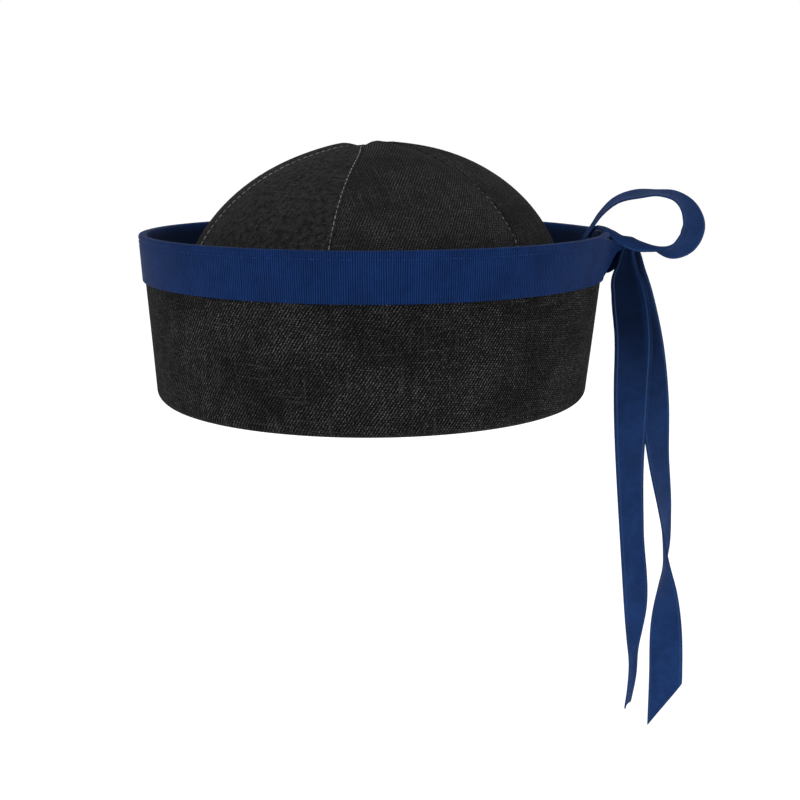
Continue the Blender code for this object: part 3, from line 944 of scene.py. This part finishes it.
@dataclass
class Binding:
    """The grosgrain binding folded over the rim, held by a row of blue stitches."""

    form: CapForm
    turns: int = 300
    stitch_drop: float = 0.0034
    quilt: float = 0.00022
    quilt_width: float = 0.0011
    squareness: float = 0.62

    def profile(self) -> tuple[Points, Points]:
        """Up inside the brim, over the rim in half a rounded square, and down outside.

        The rounded square is cos and sin, each raised to the power of its squareness. On the
        outer wall the stitch row draws the cloth in by a bell curve of the quilt's width.

        Returns:
            Radii and heights.
        """
        form = self.form
        low = form.brim_height - form.binding_height
        stand = form.brim_cloth / 2 + form.gap + form.binding_cloth / 2
        rise = form.gap + form.binding_cloth / 2
        wall_rise = np.linspace(low, form.rim_height, 24)
        slant = stand / math.cos(form.lean)
        turn = np.linspace(math.pi, 0.0, 15)[1:-1]
        over = np.sign(np.cos(turn)) * np.abs(np.cos(turn)) ** self.squareness
        above = np.sin(turn) ** self.squareness
        rim = form.wall_radius(form.rim_height)
        falling = wall_rise[::-1]
        past = (falling - form.brim_height + self.stitch_drop) / self.quilt_width
        outside = form.wall_radius(falling) + slant - self.quilt * np.exp(-(past**2))
        radius = np.concatenate((form.wall_radius(wall_rise) - slant, rim + stand * over, outside))
        height = np.concatenate((wall_rise, form.rim_height + rise * above, falling))
        return radius, height

    def build(self, finish: Material, thread: Material) -> None:
        """The folded binding and its stitches.

        Args:
            finish: The binding's material.
            thread: The stitches' material.
        """
        radius, height = self.profile()
        points, uv = self.form.around(radius[::-1], height[::-1], self.turns)
        piece = grid_object("binding_grosgrain", points, uv, wrap=True)
        wall(piece, self.form.binding_cloth, 0.0)
        finish_piece(piece, finish, Slot.BINDING, "brim_binding")
        azimuth = np.linspace(-180.0, 180.0, 721)
        level = np.full_like(azimuth, self.form.brim_height - self.stitch_drop)
        reach = self.form.binding_reach(azimuth, level) - self.quilt
        path = reach[:, None] * outward(azimuth) + level[:, None] * UP
        stitching = Stitching(thread=0.00042, sink=0.0001)
        row = stitching.row("binding_stitches", [(path, outward(azimuth))])
        finish_piece(row, thread, Slot.BINDING)


# Crown.


@dataclass(frozen=True)
class Gore:
    """One gore: how far in degrees its first seam is drawn aside, the shares of its low and top
    puffs, of its dents and of its lap, and how far in metres its stitches stand aside.
    """

    seam_shift: float
    low: float
    top: float
    dents: float
    lap: float
    stitch_aside: float


@dataclass
class Crown:
    """Six denim gores, felled and topstitched at their seams.

    lapped is the share of a gore's width by which its sheet goes past each of its seams.
    """

    form: CapForm
    first_seam: float = -70.0
    cloth: float = 0.0013
    height: float = 0.1157
    shoulder_height: float = 0.042
    shoulder_share: float = 0.28
    taper: float = 0.0059
    lean_aside: float = 0.0026
    meet_offset: float = 0.0055
    hole: float = 0.00012
    puff_low: float = 0.0022
    puff_top: float = 0.0033
    fade: float = 0.013
    lap_width: float = 0.0044
    seam_depth: float = 0.0006
    seam_width: float = 0.0008
    lap_rise: float = 0.00042
    allowance_rise: float = 0.00020
    dent_depth: float = 0.00055
    flat_radius: float = 0.016
    lapped: float = 0.0012
    gores: tuple[Gore, ...] = (
        Gore(-2.0, 0.9, 0.25, 0.6, 0.5, -0.0010),
        Gore(-1.5, 1.0, 1.0, 1.0, 0.25, -0.0011),
        Gore(2.5, 1.0, 0.9, 0.7, 1.0, -0.0003),
        Gore(1.0, 0.9, 0.8, 0.8, 0.6, -0.0010),
        Gore(0.0, 0.9, 0.3, 0.6, 0.6, -0.0010),
        Gore(-1.0, 0.9, 0.62, 0.8, 0.6, -0.0010),
    )

    def meridian(self, share: Points) -> tuple[Points, ...]:
        """The seam line: straight in the fold, eased in to the shoulder, then a quarter ellipse.

        Args:
            share: From 0 at the base to 1 at the apex.

        Returns:
            Radius, height, the outward normal's radial and upward parts, the climb above the
            shoulder and the share below it.
        """
        form = self.form
        foot = form.fold_radius + 2 * form.gap
        base = form.head_radius + form.brim_cloth + form.gap + self.cloth
        shoulder = base - self.taper
        rise = self.height - self.shoulder_height
        below = np.clip(share / self.shoulder_share, 0.0, 1.0)
        last = math.acos(self.hole / shoulder)
        angle = last * np.clip((share - self.shoulder_share) / (1 - self.shoulder_share), 0.0, 1.0)
        height = foot + (self.shoulder_height - foot) * below + rise * np.sin(angle)
        above_lip = (height - form.lip_height) / (self.shoulder_height - form.lip_height)
        radius = shoulder * np.cos(angle) + self.taper * (1 - smoothstep(above_lip))
        radial, upward = np.cos(angle) / shoulder, np.sin(angle) / rise
        size = np.hypot(radial, upward)
        return radius, height, radial / size, upward / size, np.sin(angle), below

    def seam(self, index: int) -> float:
        """The azimuth of the seam at a gore's start."""
        return self.first_seam + index * 60.0 + self.gores[index % 6].seam_shift

    def surface(self, index: int, u: Points, v: Points) -> Points:
        """A gore's outer face at shares across and up it.

        The seam line is swollen by a parabola across the gore, dented by a few soft sines, lifted
        where the seam's allowance lies under it, and turned in at its two edges by a bell curve.

        Args:
            index: The gore, from 0.
            u: Shares across it.
            v: Shares up it.

        Returns:
            One point a share, in metres.
        """
        gore = self.gores[index]
        following = self.gores[(index + 1) % 6]
        radius, height, radial, upward, climb, below = self.meridian(v)
        start, end = math.radians(self.seam(index)), math.radians(self.seam(index + 1))
        angle = start + (end - start) * u
        mould = (1 - (2 * u - 1) ** 2) * smoothstep(below) * smoothstep(radius / self.fade)
        puff = mould * (self.puff_low * gore.low * (1 - climb) + self.puff_top * gore.top * climb)
        dents = np.sin(2.2 * v * math.pi + 3.1 * u + index)
        dents = dents * np.sin(5.0 * u + 1.7 * index + 2.4 * v)
        puff += self.dent_depth * gore.dents * dents * mould
        from_start = radius * (angle - start)
        from_end = radius * (end - angle)
        room = smoothstep(radius / self.flat_radius)
        lapping = smoothstep((self.lap_width - from_start) / 0.0012 + 0.5)
        allowed = smoothstep((self.lap_width - from_end) / 0.0016 + 0.5)
        puff += self.lap_rise * gore.lap * room * lapping
        puff += self.allowance_rise * following.lap * room * allowed
        edge = sum(np.exp(-((away / self.seam_width) ** 2)) for away in (from_start, from_end))
        puff -= self.seam_depth * edge * np.maximum(room, 0.35)
        reach = radius + puff * radial
        aside = (self.lean_aside * climb - self.meet_offset * climb**40)[..., None]
        away = np.stack((np.sin(angle), -np.cos(angle), np.zeros_like(angle)), axis=-1)
        lean = aside * outward(np.array(self.form.bow_azimuth))
        return reach[..., None] * away + lean + (height + puff * upward)[..., None] * UP

    def spacing(self, index: int, columns: int) -> Points:
        """Shares s across a gore, closer near its seams: s - 0.11 sin(2 pi s), then lapped."""
        even = np.linspace(0.0, 1.0, columns)
        return -self.lapped + (1 + 2 * self.lapped) * (even - 0.11 * np.sin(math.tau * even))

    def build_gore(self, index: int, finish: Material) -> None:
        """One gore's sheet, walled inwards.

        Args:
            index: The gore, from 0.
            finish: Its material.
        """
        u, v = np.meshgrid(self.spacing(index, 72), np.linspace(0.0, 1.0, 100), indexing="ij")
        points = self.surface(index, u, v)
        radius = self.meridian(v)[0]
        wide = math.radians(self.seam(index + 1) - self.seam(index))
        climb = lengths_along(np.swapaxes(points[35:36], 0, 1))[:, 0]
        across = (u - 0.5) * wide * radius + index * 0.21
        uv = np.stack((across, np.broadcast_to(climb, u.shape)), axis=-1)
        piece = grid_object(f"crown_gore_{index + 1}_denim", points, uv)
        wall(piece, self.cloth, -1.0)
        finish_piece(piece, finish, Slot.CROWN, f"crown_gore_{index + 1}")

    def stitch_path(self, index: int) -> tuple[Points, Points]:
        """The topstitch beside the seam at a gore's start, on the gore before it.

        Args:
            index: The gore, from 0.

        Returns:
            The path's points and the outward normals at them.
        """
        before = (index - 1) % 6
        v = np.linspace(0.06, 0.965, 260)
        radius = self.meridian(v)[0]
        wide = math.radians(self.seam(before + 1) - self.seam(before))
        aside = -self.gores[index].stitch_aside * smoothstep(radius / 0.02 + 0.15)
        u = 1.0 - np.maximum(aside / radius, 0.004) / wide
        path = self.surface(before, u, v)
        beside = self.surface(before, u - 0.02, v)
        return path, unit(np.cross(path - beside, np.gradient(path, axis=0)))

    def build(self, finishes: tuple[Material, ...], thread: Material) -> None:
        """Every gore and one row of stitches at each seam.

        Args:
            finishes: A material for each gore.
            thread: The stitches' material.
        """
        for index in range(6):
            self.build_gore(index, finishes[index])
        paths = [self.stitch_path(index) for index in range(6)]
        rows = Stitching(sink=0.00012).row("crown_topstitch", paths)
        finish_piece(rows, thread, Slot.CROWN)


# Bow.


@dataclass(frozen=True)
class Section:
    """One section of a ribbon.

    out and up are shares of the piece's reach and rise, or out of its sway and up its drop as a
    share of the length. along is a share of the ribbon's width. turn is in degrees about the
    run, width a share of the ribbon's, and curl how far in degrees each long edge bends back.
    fold is how far in degrees the far long edge is folded over.
    """

    out: float
    along: float
    up: float
    turn: float
    width: float
    curl: float = 8.0
    fold: float = 0.0


@dataclass(frozen=True)
class Knot:
    """The knot's place and size."""

    form: CapForm
    stand_off: float = 0.0086
    below_rim: float = 0.0076
    depth: float = 0.0105
    width: float = 0.010
    tall: float = 0.012

    def place(self, out: float, along: float, up: float) -> Points:
        """A place in metres from the knot's centre: out from the cap, round it and up.

        Args:
            out: Metres out from the cap.
            along: Metres round it.
            up: Metres up.

        Returns:
            The place.
        """
        form = self.form
        height = form.brim_height - self.below_rim
        reach = form.binding_radius(height) + form.pull(form.bow_azimuth, height) + self.stand_off
        azimuth = np.array(form.bow_azimuth)
        return (reach + out) * outward(azimuth) + along * onward(azimuth) + (height + up) * UP

    def frame(self) -> tuple[Points, Points, Points]:
        """The unit directions out, along and up at the bow."""
        azimuth = np.array(self.form.bow_azimuth)
        return outward(azimuth), onward(azimuth), UP


@dataclass
class Ribbon:
    """A ribbon carried along its rows of place, turn, width, curl and fold.

    slant is how much shorter one long edge is than the other. The far edge for a positive slant.
    """

    name: str
    rows: Points
    reference: Points
    cloth: float = 0.0009
    slant: float = 0.0
    across: int = 14
    long: int = 110

    @property
    def length(self) -> float:
        """The length along its middle line, in metres."""
        return float(lengths_along(self.rows[:, :3])[-1])

    def surface(self) -> tuple[Points, Points]:
        """The ribbon's middle surface.

        At each place along, the width way is the reference squared to the run and turned about
        it. Across the ribbon the surface's angle to the width way is the curl times 2u - 1 plus
        the fold past about four fifths of the width, and its cosine and sine, summed across, give
        the section's shape. The slant shortens one long edge.

        Returns:
            Points, across by long by 3, and UVs in metres, along and across.
        """
        shares = np.linspace(0, 1, self.across), np.linspace(0, 1, self.long)
        u, v = np.meshgrid(*shares, indexing="ij")
        cut = u if self.slant > 0 else 1 - u
        share = v * (1 - abs(self.slant) / self.length * cut)
        flat = share.ravel()
        at = smooth_through(self.rows, flat)
        small = 0.003
        ahead, behind = (smooth_through(self.rows, flat + way)[:, :3] for way in (small, -small))
        run = unit(ahead - behind)
        first = unit(self.reference - (run @ self.reference)[:, None] * run)
        second = np.cross(run, first)
        turn = np.radians(at[:, 3])[:, None]
        width_way = (np.cos(turn) * first + np.sin(turn) * second).reshape(*u.shape, 3)
        normal = (np.cos(turn) * second - np.sin(turn) * first).reshape(*u.shape, 3)
        width, curl, fold = (at[:, k].reshape(u.shape) for k in (4, 5, 6))
        bend = np.radians(curl * (2 * u - 1) + fold * smoothstep((u - 0.72) / 0.14))
        step = 1.0 / (self.across - 1)
        flatwise = np.cumsum(np.cos(bend), axis=0) * step
        rise = np.cumsum(np.sin(bend), axis=0) * step
        flatwise -= flatwise[:1] / 2 + flatwise[-1:] / 2
        rise -= rise.mean(axis=0, keepdims=True)
        points = at[:, :3].reshape(*u.shape, 3) + (width * flatwise)[..., None] * width_way
        points = points + (width * rise)[..., None] * normal
        uv = np.stack((share * self.length, (u - 0.5) * width.max()), axis=-1)
        return points, uv

    def build(self) -> Piece:
        """The ribbon as a walled sheet with soft edges.

        Returns:
            The piece.
        """
        points, uv = self.surface()
        piece = grid_object(self.name, points, uv)
        wall(piece, self.cloth, 0.0, rounds=1)
        return piece


@dataclass
class Bow:
    """Two ties off the binding, a wound knot, one loop and two hanging tails.

    A tail's slant is how much shorter one long edge is, and its sign says which. core is the share
    of the knot's size that its lump fills.
    """

    form: CapForm
    knot: Knot
    ribbon: float = 0.018
    cloth: float = 0.0009
    reach: float = 0.0318
    rise: float = 0.0248
    near_length: float = 0.2222
    near_sway: float = 0.0105
    far_length: float = 0.2405
    far_sway: float = 0.029
    near_slant: float = -0.003
    far_slant: float = 0.028
    core: float = 0.68
    loop: tuple[Section, ...] = (
        Section(-0.615, 0.25, 0.05, 1, 0.36, 30),
        Section(-0.60, 0.20, 0.16, 1, 0.42, 28),
        Section(-0.535, 0.22, 0.29, 2, 0.42, 22),
        Section(-0.455, 0.30, 0.45, 3, 0.42, 16),
        Section(-0.355, 0.38, 0.62, 4, 0.58, 10),
        Section(-0.14, 0.45, 0.86, 6, 0.86),
        Section(0.17, 0.48, 0.98, 9, 1.0),
        Section(0.46, 0.48, 1.00, 6, 1.0),
        Section(0.72, 0.44, 0.94, 15, 1.0),
        Section(0.935, 0.38, 0.67, 33, 1.0),
        Section(0.985, 0.30, 0.40, 43, 1.0),
        Section(0.88, 0.225, 0.11, 44, 1.0),
        Section(0.70, 0.16, -0.018, 33, 0.94, 12),
        Section(0.46, 0.09, 0.00, 4, 0.74, 22),
        Section(0.28, 0.00, 0.045, -18, 0.60, 28),
        Section(0.085, -0.11, 0.105, -35, 0.58, 30),
        Section(-0.07, -0.07, 0.17, -31, 0.52, 30),
        Section(-0.22, 0.10, 0.295, -20, 0.46, 26),
        Section(-0.34, 0.25, 0.365, -8, 0.42, 22),
        Section(-0.43, 0.34, 0.37, -3, 0.38, 22),
        Section(-0.49, 0.40, 0.30, 0, 0.34, 26),
        Section(-0.52, 0.43, 0.20, 0, 0.30, 30),
    )
    near: tuple[Section, ...] = (
        Section(0.02, -0.27, -0.025, 82, 0.32, 40, 0),
        Section(-0.02, -0.29, 0.006, 84, 0.58, 44, 10),
        Section(-0.04, -0.30, 0.034, 84, 0.90, 44, 16),
        Section(0.10, -0.31, 0.066, 84, 1.03, 40, 14),
        Section(0.36, -0.36, 0.15, 84, 1.04, 30, 2),
        Section(0.40, -0.33, 0.27, 78, 1.0, 18, -6),
        Section(0.45, -0.31, 0.42, 56, 1.0, 10, -6),
        Section(0.68, -0.31, 0.59, 46, 1.0, 6, -4),
        Section(0.99, -0.31, 0.775, 41, 1.0),
        Section(0.97, -0.31, 0.825, 30, 1.0, 10),
        Section(0.955, -0.31, 0.868, 20, 1.0, 12),
        Section(0.915, -0.31, 0.936, 18, 1.0, 14),
        Section(0.76, -0.32, 1.00, 16, 1.0, 10),
    )
    far: tuple[Section, ...] = (
        Section(0.15, 0.16, -0.012, 66, 0.34, 22, 0),
        Section(0.18, 0.26, 0.010, 64, 0.48, 20, -6),
        Section(0.205, 0.32, 0.036, 62, 0.70, 16, -10),
        Section(0.28, 0.36, 0.07, 56, 0.86, 12, -10),
        Section(0.46, 0.38, 0.17, 56, 1.0, 8, -8),
        Section(0.58, 0.40, 0.28, 56, 1.0),
        Section(0.69, 0.40, 0.40, 40, 1.0),
        Section(0.84, 0.40, 0.52, 23, 1.0, 14),
        Section(0.89, 0.40, 0.61, 5, 1.0, 32),
        Section(0.92, 0.40, 0.68, -24, 1.0, 26),
        Section(0.95, 0.40, 0.77, -54, 1.0),
        Section(0.98, 0.40, 0.88, -60, 1.0),
        Section(0.98, 0.40, 1.00, -57, 1.0),
    )

    def carried(
        self, table: tuple[Section, ...], reach: float, base: float, rise: float
    ) -> list[tuple[float, ...]]:
        """The rows of a table of sections.

        Args:
            table: The sections.
            reach: What their out is a share of.
            base: The height above the knot's centre from which they rise.
            rise: What their up is a share of, less than 0 for a tail.

        Returns:
            One row a section: place, turn, width, curl and fold.
        """
        rows = []
        for row in table:
            place = self.knot.place(row.out * reach, row.along * self.ribbon, base + row.up * rise)
            rows.append((*place, row.turn, row.width * self.ribbon, row.curl, row.fold))
        return rows

    def tie_rows(
        self,
        side: int,
        leave: float,
        end: Points,
        arrive: Points,
        rise_by: float,
        gather: tuple[float, float],
    ) -> Points:
        """A tie's rows: out of the binding at a tangent, then a cubic to the knot.

        Args:
            side: -1 for the near tie, 1 for the far one.
            leave: How far from the bow it leaves the binding, in degrees.
            end: Its place on the knot.
            arrive: The way that it heads there.
            rise_by: The share of the free way by which it is at the knot's height.
            gather: The share of the way past which its width falls, and the share that is left.

        Returns:
            One row a place.
        """
        form = self.form
        middle = form.brim_height - form.binding_height / 2
        lean = -side * (form.lean_deg + math.degrees(math.atan(form.bow_pull / form.brim_height)))
        hidden, rise_out, curl = -0.00085, 0.00125, 34
        rows = []
        for lap in (9.0, 6.0, 3.0, 0.0):
            azimuth = form.bow_azimuth + side * (leave + lap)
            sunk = hidden + rise_out * smoothstep(np.array(1 - lap / 9.0))
            reach = form.binding_reach(azimuth, middle) + sunk
            place = reach * outward(np.array(azimuth)) + middle * UP
            rows.append((*place, lean, form.binding_height, 0, 0))
        first = np.array(rows[-1][:3])
        leave_way = -side * onward(np.array(form.bow_azimuth + side * leave))
        straight = np.linalg.norm(end - first)
        for way in (0.2, 0.4, 0.6, 0.8, 1.0):
            ease = smoothstep(np.array(way))
            rise_in, rise_end = way**3 - 2 * way**2 + way, way**3 - way**2
            place = first * (1 - ease) + end * ease
            place = place + straight * leave_way * rise_in + straight * arrive * rise_end
            risen = smoothstep(np.array(way / rise_by))
            place[2] = first[2] * (1 - risen) + end[2] * risen
            gathering = smoothstep(np.array((way - gather[0]) / (1 - gather[0])))
            width = form.binding_height * (1 - (1 - gather[1]) * gathering)
            rows.append((*place, lean * (1 - way), width, -side * curl * gathering, 0))
        return np.array(rows)

    def build_ties(self, finish: Material) -> None:
        """The near and the far tie.

        Args:
            finish: The ties' material.
        """
        knot = self.knot
        out, along, _ = knot.frame()
        lift = self.form.gap + self.cloth / 2
        near_end = knot.place(-0.20 * knot.depth, -(knot.width / 2 - lift), 0.08 * knot.tall)
        far_end = knot.place(-0.1 * knot.depth, knot.width / 2 - lift, -0.30 * knot.tall)
        ties = (
            ("near", -1, 17, near_end, 0.5 * out + 0.6 * along, 0.8, (0.0, 0.10)),
            ("far", 1, 14, far_end, 0.4 * out - 0.8 * along, 1.0, (0.45, 0.50)),
        )
        for name, side, leave, end, arrive, rise_by, gather in ties:
            rows = self.tie_rows(side, leave, end, arrive, rise_by, gather)
            ribbon = Ribbon(f"{name}_tie_ribbon", rows, UP, self.cloth, long=90)
            piece, length = ribbon.build(), ribbon.length
            finish_piece(piece, finish, Slot.BINDING, f"ribbon_{name}_tie")

    def build_tails(self, finish: Material) -> None:
        """The near and the far tail.

        Args:
            finish: The tails' material.
        """
        knot = self.knot
        near_start = (*knot.place(0.0012, -0.0034, 0.0012), 80, 0.20 * self.ribbon, 20, 0)
        far_start = (*knot.place(0.0030, 0.0014, 0.0006), 66, 0.20 * self.ribbon, 20, 0)
        tails = (
            ("near", self.near, self.near_length, self.near_sway, near_start, self.near_slant),
            ("far", self.far, self.far_length, self.far_sway, far_start, -self.far_slant),
        )
        for name, table, length, sway, start, slant in tails:
            rows = np.array([start, *self.carried(table, sway, -knot.tall / 2, -length)])
            aside = knot.frame()[1]
            ribbon = Ribbon(f"{name}_tail_ribbon", rows, aside, self.cloth, slant, long=170)
            piece, run = ribbon.build(), ribbon.length
            finish_piece(piece, finish, Slot.BOW, f"tail_{name}")

    def build_loop(self, finish: Material) -> None:
        """The one loop: out of the gap behind the rim, up, out and back over the knot.

        Args:
            finish: The loop's material.
        """
        rows = np.array(self.carried(self.loop, self.reach, 0.0, self.rise))
        ribbon = Ribbon("loop_ribbon", rows, self.knot.frame()[1], self.cloth, long=150)
        piece, run = ribbon.build(), ribbon.length
        finish_piece(piece, finish, Slot.BOW, "bow_loop")

    def build_knot(self, finish: Material) -> None:
        """The knot: a rounded lump whose surface is wound into folds.

        Its radius to a direction is that of a rounded box, the sum of the direction's parts each
        to the power n, to the power -1/n, and is lowered along lines that wind round it.

        Args:
            finish: The knot's material.
        """
        rings, sides, pole, power, round_way = 48, 72, 0.02, 3.2, 0.034
        knot = self.knot
        out, along, up = knot.frame()
        angles = np.linspace(pole, math.pi - pole, rings), np.arange(sides) / sides * math.tau
        polar, turn = np.meshgrid(*angles, indexing="xy")
        level = np.sin(polar)
        way = np.stack((np.cos(polar), level * np.cos(turn), level * np.sin(turn)), axis=-1)
        boxed = (np.abs(way) ** power).sum(axis=-1) ** (-1 / power)
        folds = np.sin(3.0 * polar * 2.2 + 1.4 * np.sin(turn - 0.6) + 0.5)
        fine = np.sin(9.0 * polar + 2.0 * turn)
        size = boxed * (1.0 + 0.055 * folds * level + 0.015 * fine * level)
        half = np.array((knot.depth, knot.width, knot.tall)) * self.core / 2
        shape = way * size[..., None] * half
        centre = knot.place(0.0003, 0.001, -0.0018)
        points = centre + shape[..., :1] * out + shape[..., 1:2] * along + shape[..., 2:] * up
        around = np.arange(sides + 1) / sides * round_way
        along_m = np.linspace(-knot.tall / 2, knot.tall / 2, rings)
        uv = np.stack(np.meshgrid(around, along_m, indexing="ij"), axis=-1)
        piece = grid_object("knot_ribbon", points, uv, wrap=True)
        self.close_poles(piece)
        finish_piece(piece, finish, Slot.BOW, "bow_knot")

    def close_poles(self, piece: Piece) -> None:
        """Fills the round hole at each end of the knot with one face.

        Args:
            piece: The knot, open at its two poles.
        """
        tool = bmesh.new()
        tool.from_mesh(piece.data)
        open_edges = [edge for edge in tool.edges if edge.is_boundary]
        bmesh.ops.holes_fill(tool, edges=open_edges, sides=0)
        bmesh.ops.recalc_face_normals(tool, faces=tool.faces)
        tool.to_mesh(piece.data)
        tool.free()
        piece.data.shade_smooth()

    def build(self, tie: Material, loop: Material, tail: Material) -> None:
        """Every piece of the bow.

        Args:
            tie: The ties' material.
            loop: The loop's and the knot's material.
            tail: The tails' material.
        """
        self.build_knot(loop)
        self.build_ties(tie)
        self.build_loop(loop)
        self.build_tails(tail)


# Studio.


@dataclass
class Studio:
    """The camera at the photo's angle, a pale floor and soft light."""

    camera_place: Place = (0.01342, -0.59075, 0.12064)
    pitch_deg: float = 78.0
    lens: float = 56.06
    floor_height: float = -0.215
    floor_side: float = 30.0
    sky: float = 1.0
    overhead: float = 0.5
    floor_glow: float = 0.38

    def camera(self) -> None:
        """A camera without shift or depth of field."""
        data = bpy.data.cameras.new("camera")
        data.sensor_width = 36.0
        data.lens = self.lens
        data.clip_start = 0.01
        camera = linked("camera", data)
        camera.location = self.camera_place
        camera.rotation_euler = (math.radians(self.pitch_deg), 0.0, 0.0)
        bpy.context.scene.camera = camera

    def floor(self) -> None:
        """A wide pale floor below the tails."""
        mesh = bpy.data.meshes.new("floor")
        side, height = self.floor_side, self.floor_height
        corners = [(-side, -side), (side, -side), (side, side), (-side, side)]
        mesh.from_pydata([(x, y, height) for x, y in corners], [], [(0, 1, 2, 3)])
        piece = linked("floor", mesh)
        material = bpy.data.materials.new("pale_floor")
        material.use_nodes = True
        shader = material.node_tree.nodes["Principled BSDF"]
        set_inputs(shader, Base_Color=(0.985, 0.985, 0.985, 1), Emission_Color=(1, 1, 1, 1))
        set_inputs(shader, Roughness=0.9, Specular_IOR_Level=0.1, Emission_Strength=self.floor_glow)
        piece.data.materials.append(material)

    def panel(self, name: str, place: Place, aim: Place, size: float, watts: float) -> None:
        """A square soft light that faces a point.

        Args:
            name: Its name.
            place: Where it stands.
            aim: What it faces.
            size: Its side in metres.
            watts: Its power.
        """
        data = bpy.data.lights.new(name, "AREA")
        data.size = size
        data.energy = watts
        lamp = linked(name, data)
        lamp.location = place
        lamp.rotation_euler = (Vector(aim) - Vector(place)).to_track_quat("-Z", "Y").to_euler()

    def sky_light(self) -> None:
        """A white surround, even up to a quarter of the way up, and dimmer overhead."""
        world = bpy.data.worlds.new("white_surround")
        world.use_nodes = True
        nodes = Nodes(world.node_tree)
        way = world.node_tree.nodes.new("ShaderNodeTexCoord").outputs["Generated"]
        height = nodes.parts(way)[2]
        surround = world.node_tree.nodes["Background"].inputs
        nodes.put(surround["Color"], (1, 1, 1, 1))
        nodes.put(surround["Strength"], nodes.span(height, 0.25, 0.8, self.sky, self.overhead))
        bpy.context.scene.world = world

    def build(self) -> None:
        """Camera, floor and lights."""
        bpy.context.scene.view_settings.view_transform = "Standard"
        self.camera()
        self.floor()
        self.sky_light()
        self.panel("key", (-0.3, -0.9, 1.1), (0, 0, 0.03), 0.9, 6.0)
        self.panel("top", (0.3, 0.5, 1.3), (0, 0, 0.05), 0.8, 3.0)


def main() -> None:
    """Builds the cap's sub-assemblies in order."""
    logging.basicConfig(level=logging.INFO, format="%(name)s %(message)s")
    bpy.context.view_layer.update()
    Studio().build()
    form = CapForm()
    weaves = Weaves()
    brim_denim = DenimFinish("brim_denim").build(weaves)
    right = DenimFinish(
        "crown_denim_right",
        dark=(0.0072, 0.0072, 0.0075),
        twill=0.62,
        evenness=0.45,
        angle_deg=27.6,
        spacing=0.00111,
        mottle=0.02,
    )
    smooth = {"twill": 0.12, "evenness": 0.0, "spacing": 0.0011, "specks": 0.26, "mottle": 0.075}
    crown_left = replace(right, name="crown_denim_left", **smooth).build(weaves)
    crown_right = right.build(weaves)
    grey_thread = ThreadFinish("grey_thread", (0.17, 0.17, 0.17)).build(weaves)
    blue_thread = ThreadFinish("blue_thread", (0.008, 0.030, 0.115)).build(weaves)
    # The binding takes painted shade on its inside half.
    binding = GrosgrainFinish("binding_grosgrain", inside_shade_share=0.85).build(weaves)
    tie = GrosgrainFinish("tie_grosgrain").build(weaves)
    bow = GrosgrainFinish(
        "loop_grosgrain",
        rib=(0.0088, 0.0275, 0.096),
        # Painted shade between the ribs, close to the rib colour on the bow.
        groove_shade=(0.0076, 0.0240, 0.085),
        # The selvedge line, with its painted highlight, is this far from the ribbon's middle.
        edge_place=0.0079,
        relief=0.4,
        sheen=0.007,
    )
    loop = bow.build(weaves)
    # The tails get the painted shadow at the knot and the painted lightening at their free ends.
    tail = replace(bow, name="tail_grosgrain", knot_shadow=0.26, end_light=1.4).build(weaves)
    Brim(form).build(brim_denim)
    Binding(form).build(binding, blue_thread)
    crown = (crown_left, *[crown_right] * 3, *[crown_left] * 2)
    Crown(form).build(crown, grey_thread)
    Bow(form, Knot(form)).build(tie, loop, tail)
    bpy.context.view_layer.update()


if __name__ == "__main__":
    main()
